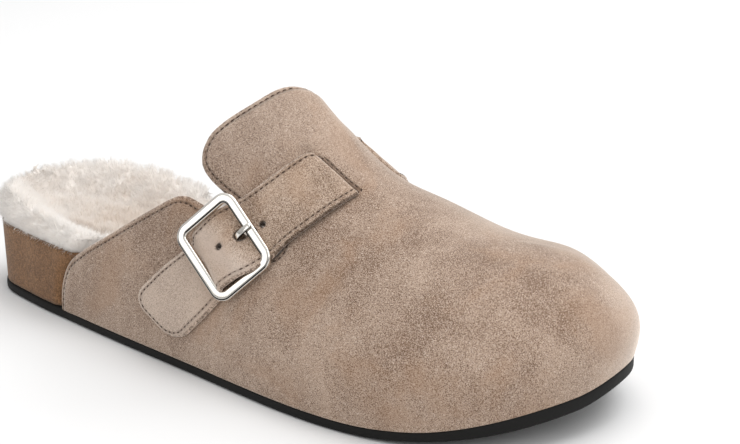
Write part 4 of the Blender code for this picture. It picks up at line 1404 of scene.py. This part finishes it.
def strap(finish):
    """Suede strap with rolled edges, a slight crown and three punched holes."""
    data, triangles = strap_data()
    data, triangles = trimmed(data, np.minimum(data[:, 6], data[:, 7]), triangles)
    place, normal = data[:, :3], data[:, 3:6]
    edge_mm = np.clip(data[:, 6], 0, None)
    hole_mm = np.clip(data[:, 7], 0, None)
    roll = 0.55 * (1 - smooth(0, 1.5, edge_mm)) + 0.3 * (1 - smooth(0, 1.0, hole_mm))
    crown = STRAP_CROWN * smooth(2.4, 9.0, edge_mm)
    puff = SEAM_PUFF * (smooth(0.2, 1.3, edge_mm) - smooth(1.4, STRAP_SEAM_IN, edge_mm))
    outer = place + normal * (crown + puff - roll)[:, None]
    inner = place - normal * (STRAP_THICK - 0.1)
    points, faces, source, _ = shell(outer, inner, triangles, STRAP_RIM_ROLL)
    # Painted shade round the holes' edges.
    pit = 1 - smooth(0.0, 0.3, hole_mm)
    attributes = {"edge_mm": edge_mm[source], "worn": data[:, 8][source], "pit": pit[source]}
    attributes["frayed"] = data[:, 9][source]
    made = piece("suede_strap", points, faces, [finish], attributes)
    dress(made, "suede", "strap")
    return data, triangles


def outsole(finish):
    """Thin rubber sole: rounded lower edge, upright side, stepped in where the hem laps it."""
    u = np.linspace(0, 1, SOLE_STEPS)
    q = u - 0.12 * np.sin(2 * math.pi * u) / (2 * math.pi)
    line = np.vstack([edge_raw(LATERAL, q), edge_raw(MEDIAL, q)[-2:0:-1]])
    for _ in range(6):
        line = line / 2 + (np.roll(line, 1, 0) + np.roll(line, -1, 0)) / 4
    ahead = np.roll(line, -1, 0) - np.roll(line, 1, 0)
    out = unit(np.stack([ahead[:, 1], -ahead[:, 0]], -1))
    if (out * (line - line.mean(0))).sum() < 0:
        out = -out
    rise = spring(line[:, 0])
    taller = HEM - hem_drop(line[:, 0])
    levels = [np.column_stack([line + out * offset, z + rise + taller * smooth(2, 3, z)])
              for offset, z in SOLE_SIDE]
    size = len(line)
    faces = ring_faces(len(levels), size, False)[:-2]
    for start in (0, (len(levels) - 1) * size):
        for i in range(SOLE_STEPS - 1):
            corners = [start + c % size for c in (i, i + 1, size - i - 1, size - i)]
            faces.append(tuple(dict.fromkeys(corners)))
    made = piece("black_outsole", np.vstack(levels), faces, [finish])
    dress(outwards(made), "rubber", "outsole")


def footbed(finish):
    """Footbed body: the brown wrap shows round the heel, under the fleece's rim."""
    shares = np.linspace(0, 1, 10)
    q = sole_shares(FOOTBED_STEPS)
    left = footbed_side(LATERAL, q[:, None], shares[None, :])
    right = footbed_side(MEDIAL, q[:, None], shares[None, :])
    x = edge_raw(LATERAL, q)[:, 0]
    middle = column(FOOTBED, "middle", x) + spring(x)
    shown = smooth(0, DISH_FADE, np.linalg.norm(left[:, -1] - right[:, -1], axis=1))
    top = []
    for s in np.linspace(0, 1, 13)[1:-1]:
        p = right[:, -1] + (left[:, -1] - right[:, -1]) * s
        p[:, 2] += (middle - p[:, 2]) * shown * (1 - abs(2 * s - 1) ** DISH_POWER)
        top.append(p)
    skirt = np.array([0, 0, SKIRT])
    low = [left[:, :1] - skirt, right[:, :1] - skirt]
    rings = np.concatenate([left[:, ::-1], *low, right, np.stack(top, 1)], 1)
    faces = ring_faces(len(q), rings.shape[1], False)
    made = piece("brown_footbed", rings.reshape(-1, 3), faces, [finish])
    dress(outwards(made), "wrap", "footbed")


def pile_profile():
    """Outer side of the pile as height shares and offsets: a soft roll that turns in at the top."""
    low = np.linspace(0, 1, 6)[:-1]
    turn = np.linspace(0, math.pi / 2, 10)
    share = np.concatenate([0.5 * low, 0.5 + 0.5 * np.sin(turn)])
    lower = PILE_ROOT + (PILE_BULGE - PILE_ROOT) * np.sin(low * math.pi / 2)
    return share, np.concatenate([lower, PILE_BULGE - PILE_ROUND * (1 - np.cos(turn))])


def fleece_surface():
    """Rings of the fleece's outer surface, with how hairy a ring's points are, how their hairs hang
    and how much painted glow they give."""
    q = sole_shares(FLEECE_STEPS)
    x = edge_raw(LATERAL, q)[:, 0]
    deep = column(FOOTBED, "pile_rim", x)
    share, bulge = pile_profile()
    sides = {}
    for side in (LATERAL, MEDIAL):
        root = footbed_side(side, q, 1.0)
        lower = ROLL_LOW * (side == LATERAL) * smooth(12, 34, x) * (1 - smooth(66, 90, x))
        tall = deep * (1 - lower)
        z = root[:, None, 2] + GAP + tall[:, None] * share[None, :]
        blend = tucked_in(x[:, None], z - 1.5)
        free = HEEL_FLARE_TOP + bulge[None, :] + 0 * z
        inner = -wall_inset(side, q[:, None], z) - WALL - 1.5 - 2.0 * share[None, :] ** 3
        at = edge(side, q[:, None] + 0 * z, free + (inner - free) * blend)
        puff = LUMPS * lock_rise(at[..., 0], at[..., 1]) * share[None, :] * (1 - blend)
        at = edge(side, q[:, None] + 0 * z, free + (inner - free) * blend + puff)
        sides[side] = np.concatenate([at, (z + puff * share[None, :])[..., None]], -1)
    middle = column(FOOTBED, "middle", x) + spring(x)
    high = middle + column(FOOTBED, "pile_middle", x)
    left, right = sides[LATERAL], sides[MEDIAL]
    wide = np.linalg.norm(left[:, -1] - right[:, -1], axis=1)
    shown = smooth(0, DISH_FADE, wide)
    top = []
    for s in np.linspace(0, 1, DISH_LINES + 2)[1:-1]:
        p = right[:, -1] + (left[:, -1] - right[:, -1]) * s
        beside = smooth(18, 48, x) * (1 - smooth(62, 100, x)) * float(smooth(0.4, 0.75, s))
        fall = smooth(0.5, DISH_RUN - ROLL_STEEP * beside, wide * min(s, 1 - s))
        p[:, 2] += (high - p[:, 2]) * shown * fall
        p[:, 2] += LUMPS * lock_rise(p[:, 0], p[:, 1]) * math.sin(math.pi * s) ** 0.5
        top.append(p)
    under = []
    low_left, low_right = footbed_side(LATERAL, q, 1.0), footbed_side(MEDIAL, q, 1.0)
    low = smooth(0, DISH_FADE, np.linalg.norm(low_left - low_right, axis=1))
    for s in np.linspace(0, 1, 9)[1:-1]:
        p = low_left * (1 - s) + low_right * s
        p[:, 2] += (middle - p[:, 2]) * low * (1 - abs(2 * s - 1) ** DISH_POWER) + GAP + 0.15
        under.append(p)
    rings = np.concatenate([left[:, ::-1], np.stack(under, 1), right, np.stack(top, 1)], 1)
    size = len(share)
    hairy = np.concatenate([np.ones(size), np.zeros(len(under)), np.ones(size + len(top))])
    hang = HANG * (1 - smooth(0, 0.4, share))
    hang = np.concatenate([hang[::-1], np.zeros(len(under)), hang, np.zeros(len(top))])
    # Painted glow: less low on the outer roll, more over the dish.
    side_glow = 0.8 - 0.5 * share**2
    top_glow = 0.62 + 0.2 * np.abs(np.linspace(-1, 1, DISH_LINES + 2)[1:-1]) ** 1.5
    thin = np.concatenate([side_glow[::-1], np.zeros(len(under)), side_glow, top_glow])
    return rings, hairy, hang, thin


def fleece(finish):
    """Woolly base under the hairs: the fleece's own form, drawn in by the length that hairs add."""
    rings, hairy, hang, thin = fleece_surface()
    size = rings.shape[1]
    made = piece("fleece_base", rings.reshape(-1, 3), ring_faces(len(rings), size, False), [finish])
    outwards(made)
    mesh = made.data
    normals, places = np.zeros((2, len(mesh.vertices), 3), np.float32)
    mesh.vertices.foreach_get("normal", normals.reshape(-1))
    mesh.vertices.foreach_get("co", places.reshape(-1))
    grown = np.tile(hairy, len(rings))
    drawn_in = places - normals * (PILE_STANDS * MM * grown)[:, None]
    mesh.vertices.foreach_set("co", drawn_in.astype(np.float32).reshape(-1))
    x = places[:, 0] / MM + MIDDLE_X
    y = places[:, 1] / MM + MIDDLE_Y
    dish = np.exp(-(((x - 62) / 42) ** 2) - (y / 20) ** 2)
    # Inside the toe box: fewer hairs, no painted glow, and painted shade.
    covered = smooth(92, 150, x)
    pile = grown * (1 - 0.84 * covered)
    on_top = np.tile(np.arange(size) >= size - DISH_LINES, len(rings))
    # More painted glow at the heel's back.
    back = 0.75 * (1 - smooth(14, 44, x)) * on_top
    thin = np.maximum(np.tile(thin, len(rings)), back) * (1 - covered)
    # Painted shade where the roll meets the dish; the painted glow stops there.
    x0, y0, x1, y1, wide = CREASE_SHADE_LINE
    dx, dy = x1 - x0, y1 - y0
    along = np.clip(((x - x0) * dx + (y - y0) * dy) / (dx**2 + dy**2), 0, 1)
    gap = np.hypot(x - x0 - along * dx, y - y0 - along * dy)
    crease_shade = np.exp(-((gap / wide) ** 2))
    thin = thin * (1 - crease_shade)
    hang = np.tile(hang, len(rings))
    pile = pile * (1 + FRINGE * (hang / HANG))
    deep = np.clip(dish + 0.4 * covered + 0.9 * crease_shade, 0, 1.6)
    values = {"deep": deep, "pile": pile, "thin": thin, "hang": hang, "inside": smooth(98, 124, x)}
    add_values(mesh, values)
    mesh.update()
    dress(made, "fleece", "fleece")
    return made


def tuft_forms():
    """A few small tufts of tapered hairs, straight ones and some curled."""
    rng = np.random.default_rng(TUFT_SEED)
    made = bpy.data.collections.new("tuft_forms")
    bpy.context.scene.collection.children.link(made)
    up = np.array([0, 0, 1.0])
    for number in range(TUFT_KINDS):
        points, faces = [], []
        for hair in range(TUFT_HAIRS):
            root = np.append(rng.uniform(-TUFT_SPREAD, TUFT_SPREAD, 2), 0)
            lean = np.append(rng.normal(0, 0.2, 2), 0)
            curl = np.append(rng.normal(0, 0.25, 2), 0)
            tall = rng.uniform(0.7, 1.1) * HAIR_LENGTH
            turn = rng.uniform(0, 2 * math.pi)
            start = len(points)
            levels = ((0.0, 1.0), (0.6, 0.7)) if hair < TUFT_CURLED else ((0.0, 1.0),)
            for s, thick in levels:
                centre = root * (1 - 0.3 * s) + (lean * s + curl * s * s + up * s) * tall
                for k in range(3):
                    angle = turn + 2 * math.pi * k / 3
                    way = np.array([math.cos(angle), math.sin(angle), 0])
                    points.append(centre + way * HAIR_R * thick)
            tip = root * 0.7 + (lean + curl + up) * tall
            points.append(tip)
            last = start + 3 * (len(levels) - 1)
            for k in range(3):
                n = (k + 1) % 3
                if len(levels) > 1:
                    faces.append((start + k, start + n, last + n, last + k))
                faces.append((last + k, last + n, last + 3))
        label = "tuft_%d" % number
        made.objects.link(bpy.data.objects.new(label, smooth_mesh(label, np.array(points) * MM, faces)))
    return made


class Plant:
    """A geometry node tree with named inputs."""

    def __init__(self, name, **inputs):
        self.tree = bpy.data.node_groups.new(name, "GeometryNodeTree")
        self.tree.interface.new_socket("Geometry", in_out="INPUT", socket_type="NodeSocketGeometry")
        for label, kind in inputs.items():
            self.tree.interface.new_socket(label, in_out="INPUT", socket_type="NodeSocket" + kind)
        self.tree.interface.new_socket("Geometry", in_out="OUTPUT", socket_type="NodeSocketGeometry")
        self.given = self.tree.nodes.new("NodeGroupInput").outputs

    def node(self, kind, output, settings=None, inputs=None):
        """Adds a node and gives one of its outputs."""
        return add_node(self.tree, kind, settings, inputs).outputs[output]

    def attribute(self, name, kind="FLOAT"):
        return self.node("GeometryNodeInputNamedAttribute", "Attribute", {"data_type": kind}, {"Name": name})

    def vectors(self, operation, one, two):
        return self.node("ShaderNodeVectorMath", "Vector", {"operation": operation}, {0: one, 1: two})

    def chance(self, low, high, seed):
        inputs = {2: low, 3: high, "Seed": seed}
        return self.node("FunctionNodeRandomValue", 1, {"data_type": "FLOAT"}, inputs)

    def end(self, instances):
        """Ends the tree: instances made real, in the given finish."""
        real = self.node("GeometryNodeRealizeInstances", "Geometry", None, {"Geometry": instances})
        inputs = {"Geometry": real, "Material": self.given["Finish"]}
        dressed = self.node("GeometryNodeSetMaterial", "Geometry", None, inputs)
        self.tree.links.new(dressed, self.tree.nodes.new("NodeGroupOutput").inputs[0])
        return self

    def grow(self, name, source, values):
        """Runs the tree on a copy of source's mesh and returns the result as a plain mesh object."""
        made = linked(name, source.data.copy())
        step = made.modifiers.new("plant", "NODES")
        step.node_group = self.tree
        for item in self.tree.interface.items_tree:
            if item.in_out == "INPUT" and item.name in values:
                step[item.identifier] = values[item.name]
        graph = bpy.context.evaluated_depsgraph_get()
        mesh = bpy.data.meshes.new_from_object(made.evaluated_get(graph))
        made.modifiers.clear()
        made.data = mesh
        mesh.name = name
        return made


def pile_plant():
    """Tufts strewn over a surface, leaning together in soft swirls."""
    p = Plant("pile_plant", Tufts="Collection", Density="Float", Seed="Int", Length="Float",
              Lean="Float", Finish="Material")
    times = {"operation": "MULTIPLY"}
    inputs = {0: p.attribute("pile"), 1: p.given["Density"]}
    density = p.node("ShaderNodeMath", "Value", times, inputs)
    inputs = {"Mesh": p.given["Geometry"], "Density": density, "Seed": p.given["Seed"]}
    strewn = add_node(p.tree, "GeometryNodeDistributePointsOnFaces", None, inputs).outputs
    where = p.node("GeometryNodeInputPosition", "Position")
    swirl = p.node("ShaderNodeTexNoise", "Color", None, {"Vector": where, "Scale": 75.0, "Detail": 2.0})
    fine = p.node("ShaderNodeTexNoise", "Color", None, {"Vector": where, "Scale": 330.0, "Detail": 1.0})
    centred = p.vectors("SUBTRACT", p.vectors("ADD", swirl, fine), (1.0, 1.0, 1.0))
    leaning = p.node("ShaderNodeVectorMath", "Vector", {"operation": "SCALE"},
                     {0: centred, "Scale": p.given["Lean"]})
    hang = p.node("ShaderNodeCombineXYZ", "Vector", None, {"Z": p.attribute("hang")})
    way = p.vectors("ADD", p.vectors("ADD", strewn["Normal"], leaning), hang)
    upright = p.node("FunctionNodeAlignRotationToVector", "Rotation", {"axis": "Z"}, {"Vector": way})
    about = p.node("ShaderNodeCombineXYZ", "Vector", None, {"Z": p.chance(0.0, 6.283, 3)})
    about = p.node("FunctionNodeEulerToRotation", "Rotation", None, {"Euler": about})
    spun = p.node("FunctionNodeRotateRotation", "Rotation", {"rotation_space": "LOCAL"},
                  {"Rotation": upright, "Rotate By": about})
    size = p.node("ShaderNodeMath", "Value", times, {0: p.chance(0.7, 1.15, 5), 1: p.given["Length"]})
    forms = p.node("GeometryNodeCollectionInfo", "Instances", None,
                   {"Collection": p.given["Tufts"], "Separate Children": True, "Reset Children": True})
    inputs = {4: 0, 5: TUFT_KINDS - 1, "Seed": 9}
    pick = p.node("FunctionNodeRandomValue", 2, {"data_type": "INT"}, inputs)
    return p.end(p.node("GeometryNodeInstanceOnPoints", "Instances", None,
                        {"Points": strewn["Points"], "Instance": forms, "Pick Instance": True,
                         "Instance Index": pick, "Rotation": spun, "Scale": size}))


def hairs(name, source, plant, tufts, finish, density, seed, length, lean):
    """One patch of pile grown on a source surface."""
    values = {"Tufts": tufts, "Density": density, "Seed": seed, "Length": length, "Lean": lean,
              "Finish": finish}
    return dress(plant.grow(name, source, values), "fleece")


def lining_source(data, triangles, finish):
    """Inner face of the upper where the lining's pile grows, hidden once the hairs stand."""
    place, normal = data[:, :3], data[:, 3:6]
    inner = place - normal * (WALL + 0.2)
    rim = data[:, 8]
    pile = smooth(0.2, 1.2, rim) * (1 - smooth(5.0, 9.0, rim))
    pile += 0.5 * smooth(5.0, 9.0, rim) * (1 - smooth(130, 160, place[:, 0]))
    pile *= smooth(14, 22, place[:, 2]) * smooth(8, 14, np.minimum(data[:, 7], np.abs(data[:, 6])))
    pile *= smooth(RELIEF_R + 3, RELIEF_R + 9, relief_distance(place))
    pile *= 1 - smooth(THROAT_TOP, 88, place[:, 2])
    attributes = {"pile": pile, "deep": 0.3 + 0 * pile, "hang": 0 * pile, "inside": 0 * pile}
    return piece("lining_source", inner, triangles[:, ::-1], [finish], attributes)


def frame_axes():
    """The frame's own directions: it leans a little on the strap."""
    foot, u, w, n = BUCKLE_AXES
    centre = foot + FRAME_SHIFT[0] * u + FRAME_SHIFT[1] * w + FRAME_SHIFT[2] * n
    u, n = turned(u, n, FRAME_LEAN)
    w, n = turned(w, n, -FRAME_TIP)
    u, w = turned(u, w, -FRAME_TURN)
    return centre, u, w, n


def buckle_frame(finish):
    """Closed rounded-square frame: its bar has flat faces and bevels, with a painted dark reflection where
    they look down.
    """
    centre, u_way, w_way, n_way = frame_axes()
    half = BUCKLE_BAR / 2
    shoulder = FRAME_BAR / 2 - FRAME_SHOULDER
    path = []
    for quarter, (su, sw) in enumerate(((1, 1), (1, -1), (-1, -1), (-1, 1))):
        for turn in np.linspace(0, math.pi / 2, 13):
            angle = math.pi / 2 - turn - quarter * math.pi / 2
            spot = (su * (FRAME_ALONG / 2 - BUCKLE_CORNER), sw * (FRAME_ACROSS / 2 - BUCKLE_CORNER))
            path.append((*spot, math.cos(angle), math.sin(angle)))
    section = []
    for quarter, (sa, sb) in enumerate(((1, 1), (-1, 1), (-1, -1), (1, -1))):
        for turn in np.linspace(0, math.pi / 2, 9):
            angle = turn + quarter * math.pi / 2
            section.append((sa * shoulder + FRAME_SHOULDER * math.cos(angle),
                            sb * (half - FRAME_DROP) + FRAME_DROP * math.sin(angle)))
    rings, shade = [], []
    for u, w, cu, cw in path:
        way = cu * u_way + cw * w_way
        for off, up in section:
            reach = BUCKLE_CORNER - FRAME_BAR / 2 + off
            flat = (u + cu * reach) * u_way + (w + cw * reach) * w_way
            rings.append(centre + flat + (BUCKLE_LIFT + up) * n_way)
            in_bevel = (FRAME_BAR / 2 - abs(off)) / FRAME_SHOULDER
            # Painted dark reflection on the bevels that look down.
            bevelled = DARK_LINE[0] < in_bevel < DARK_LINE[1] and up > 0
            shade.append(bevelled * min(1, max(0, -1.8 * way[2] * np.sign(off))))
    faces = ring_faces(len(path), len(section), True)
    return piece("nickel_buckle", np.array(rings), faces, [finish], {"side_wall": shade})


def tube(line, wide, tall, sides):
    """Rings of an oval rod along a line of buckle measures; wide and tall may vary along it; its sides get a
    painted dark reflection.
    """
    line = np.asarray(line, float)
    rings, shade = [], []
    for k, p in enumerate(line):
        ahead = line[min(k + 1, len(line) - 1)] - line[max(k - 1, 0)]
        first = np.array([0, 1.0, 0])
        second = unit(np.cross(ahead, first))
        for j in range(sides):
            turn = 2 * math.pi * j / sides
            flat = [math.copysign(abs(v) ** SQUARED, v) for v in (math.cos(turn), math.sin(turn))]
            spot = p + wide[k] * flat[0] * first + tall[k] * flat[1] * second
            rings.append(at_buckle(*spot))
            # Painted dark reflection down the prong's sides.
            shade.append(smooth(0.55, 0.8, flat[0]) * (1 - smooth(0.6, 1.0, abs(flat[1]))))
    return np.array(rings), ring_faces(len(line), sides, False), shade


def buckle(finish):
    """Polished frame with its centre bar, and the prong that laps over the frame."""
    dress(outwards(buckle_frame(finish)), "nickel", "buckle")
    reach = FRAME_ACROSS / 2 - FRAME_BAR
    centre, u_way, w_way, n_way = frame_axes()
    middle = centre - FRAME_SHIFT[0] * u_way + (CENTRE_BAR_LIFT - FRAME_SHIFT[2]) * n_way
    turn = np.linspace(0, 2 * math.pi, BAR_SIDES, endpoint=False)
    around = CENTRE_BAR_R * (np.outer(np.cos(turn), u_way) + np.outer(np.sin(turn), n_way))
    rings = np.vstack([middle + w * w_way + around for w in np.linspace(-reach, reach, BAR_RINGS)])
    bar = piece("nickel_centre_bar", rings, ring_faces(BAR_RINGS, BAR_SIDES, False), [finish])
    dress(outwards(bar), "nickel")
    line = [(u, 0, lift) for u, lift in curve(TONGUE_LINE, 8, False)]
    s = np.linspace(0, 1, len(line))
    tip = np.sqrt(np.clip(1 - smooth(0.93, 1.0, s) ** 2, 0.02, 1))
    rings, faces, shade = tube(line, PRONG_WIDE * tip, PRONG_TALL * tip, PRONG_SIDES)
    tongue = piece("nickel_prong", rings, faces, [finish], {"side_wall": shade})
    dress(outwards(tongue), "nickel", "prong")


def stitch_form():
    """One stitch: a short plump thread that dips at both ends."""
    rings, sides = 7, 8
    points = []
    for k in range(rings):
        s = 2 * k / (rings - 1) - 1
        swell = math.sqrt(max(0.04, 1 - s**4))
        rise = STITCH_RISE * (1 - s * s) - STITCH_SINK
        for j in range(sides):
            turn = 2 * math.pi * j / sides
            points.append((s * STITCH_LONG / 2, STITCH_WIDE / 2 * swell * math.cos(turn),
                           rise + STITCH_WIDE * 0.4 * swell * math.sin(turn)))
    mesh = smooth_mesh("stitch_form", np.array(points) * MM, ring_faces(rings, sides, False))
    return outwards(linked("stitch_form", mesh))


def stitch_plant():
    """Stitches set end to end along seam lines, standing on the surface."""
    p = Plant("stitch_plant", Stitch="Object", Pitch="Float", Finish="Material")
    line = p.node("GeometryNodeMeshToCurve", "Curve", None, {"Mesh": p.given["Geometry"]})
    even = p.node("GeometryNodeResampleCurve", "Curve", {"mode": "LENGTH"},
                  {"Curve": line, "Length": p.given["Pitch"]})
    ahead = p.node("GeometryNodeInputTangent", "Tangent")
    out = p.attribute("outward", "FLOAT_VECTOR")
    laid = p.node("FunctionNodeAxesToRotation", "Rotation", {"primary_axis": "X", "secondary_axis": "Z"},
                  {"Primary Axis": ahead, "Secondary Axis": out})
    form = p.node("GeometryNodeObjectInfo", "Geometry", None, {"Object": p.given["Stitch"]})
    return p.end(p.node("GeometryNodeInstanceOnPoints", "Instances", None,
                        {"Points": even, "Instance": form, "Rotation": laid}))


def seams(name, lines, plant, form, finish):
    """Sewn seam lines: each is an array of places and outward directions."""
    points = np.vstack([line[:, :3] for line in lines])
    outward = np.vstack([line[:, 3:6] for line in lines])
    edges = []
    start = 0
    for line in lines:
        edges += [(start + k, start + k + 1) for k in range(len(line) - 1)]
        start += len(line)
    mesh = bpy.data.meshes.new(name + "_line")
    mesh.from_pydata(placed(points).tolist(), edges, [])
    mesh.attributes.new("outward", "FLOAT_VECTOR", "POINT").data.foreach_set(
        "vector", np.asarray(outward, np.float32).reshape(-1))
    source = linked(name + "_line", mesh)
    made = plant.grow(name, source, {"Stitch": form, "Pitch": STITCH_PITCH * MM, "Finish": finish})
    bpy.data.objects.remove(source)
    return dress(made, "suede")


def faced(place, right, up, back):
    """Matrix of a camera or lamp at a place that looks against `back`."""
    return Matrix([[right[k], up[k], back[k], place[k]] for k in range(3)] + [[0, 0, 0, 1]])


def camera():
    """Camera at the photograph's angle to the shoe."""
    a, e = math.radians(CAMERA_TURN), math.radians(CAMERA_RISE)
    back = np.array([math.sin(a) * math.cos(e), -math.cos(a) * math.cos(e), math.sin(e)])
    right = np.array([math.cos(a), math.sin(a), 0])
    up = np.cross(back, right)
    place = (np.array(CAMERA_AIM) - (MIDDLE_X, MIDDLE_Y, 0) + back * CAMERA_FAR) * MM
    lens = bpy.data.cameras.new("camera")
    lens.lens = CAMERA_LENS
    lens.sensor_width = CAMERA_SENSOR
    lens.clip_start = CAMERA_NEAR
    made = linked("camera", lens)
    made.matrix_world = faced(place, right, up, back)
    bpy.context.scene.camera = made


def lamp(lit):
    """Soft lamp that looks at the shoe."""
    light = bpy.data.lights.new(lit.name, "AREA")
    light.shape = "RECTANGLE"
    light.size, light.size_y = lit.wide, lit.tall
    light.energy = lit.power
    place = np.array([lit.x, lit.y, lit.z])
    back = unit(place - LAMP_AIM)
    right = unit(np.cross((0, 0, 1.0), back))
    linked(lit.name, light).matrix_world = faced(place, right, np.cross(back, right), back)


def studio():
    """Pale floor, even surroundings and soft lamps."""
    world = bpy.data.worlds.new("studio")
    bpy.context.scene.world = world
    world.use_nodes = True
    tree = world.node_tree
    sky = tree.nodes["Background"]
    sky.inputs["Color"].default_value = (1, 1, 1, 1)
    way = add_node(tree, "ShaderNodeTexCoord").outputs["Generated"]
    height = add_node(tree, "ShaderNodeSeparateXYZ", None, {0: way}).outputs["Z"]
    inputs = {"Value": height, "From Min": SKY_FROM, "From Max": SKY_TO, "To Min": SKY_LOW,
              "To Max": SKY_HIGH}
    rise = add_node(tree, "ShaderNodeMapRange", None, inputs)
    tree.links.new(rise.outputs["Result"], sky.inputs["Strength"])
    mesh = bpy.data.meshes.new("floor")
    corners = [(x * FLOOR_HALF, y * FLOOR_HALF, 0) for x, y in ((-1, -1), (1, -1), (1, 1), (-1, 1))]
    mesh.from_pydata(corners, [], [(0, 1, 2, 3)])
    mesh.materials.append(floor_finish())
    floor = linked("floor", mesh)
    floor.location.z = FLOOR_DROP
    for lit in LAMPS:
        lamp(lit)
    bpy.context.scene.view_settings.view_transform = "Standard"
    bpy.context.scene.view_settings.look = "None"


def main():
    """Dresses the mule."""
    camera()
    studio()
    upper_suede = suede("taupe_suede", UPPER_DARK, UPPER_LIGHT, SEAM_IN, UPPER_RAW)
    strap_suede = suede("strap_suede", STRAP_DARK, STRAP_LIGHT, STRAP_SEAM_IN, STRAP_RAW)
    wool = fleece_finish("cream_fleece", FLEECE_GLOW)
    lining_wool = fleece_finish("cream_lining", 0.0)
    thread = thread_finish()
    upper_rows, upper_triangles = upper(upper_suede, lining_wool)
    strap_rows, strap_triangles = strap(strap_suede)
    outsole(rubber_finish())
    footbed(wrap_finish())
    base = fleece(wool)
    buckle(nickel_finish())
    loop = frame["nodes"]["chape"].data.materials
    loop.clear()
    loop.append(leather_finish())

    form = stitch_form()
    plant = stitch_plant()
    lines = level_lines(upper_rows, upper_rows[:, 8] - SEAM_IN, upper_triangles)
    parts = [part for line in lines for part in parted(line, off_throat(line))]
    lines = [soothed(part, SEAM_ROUNDS) for part in parts if len(part) > SEAM_LEAST]
    slit = level_lines(upper_rows, np.minimum(upper_rows[:, 7], 3) - SLIT_SEAM_IN, upper_triangles)
    lines += [line for line in slit if len(line) > SLIT_SEAM_LEAST and line[:, 1].mean() < 0]
    seams("collar_stitches", lines, plant, form, thread)
    own = np.concatenate([strap_rows[:, :3], strap_rows[:, 10:13]], 1)
    lines = level_lines(own, strap_rows[:, 6] - STRAP_SEAM_IN, strap_triangles)
    lines = [soothed(line, SEAM_ROUNDS) for line in lines if len(line) > SEAM_LEAST]
    seams("strap_stitches", lines, plant, form, thread)
    bpy.data.objects.remove(form)

    tufts = tuft_forms()
    plant = pile_plant()
    for number in range(PILE_PATCHES):
        hairs("fleece_pile_%d" % (number + 1), base, plant, tufts, wool, PILE_DENSITY / PILE_PATCHES,
              PILE_SEED + number, PILE_LENGTH, PILE_LEAN)
    lining = lining_source(upper_rows, upper_triangles, lining_wool)
    hairs("lining_pile", lining, plant, tufts, lining_wool, LINING_DENSITY,
          LINING_SEED, LINING_LENGTH, LINING_LEAN)
    bpy.data.objects.remove(lining)
    for tuft in list(tufts.objects):
        bpy.data.objects.remove(tuft)
    bpy.data.collections.remove(tufts)


main()
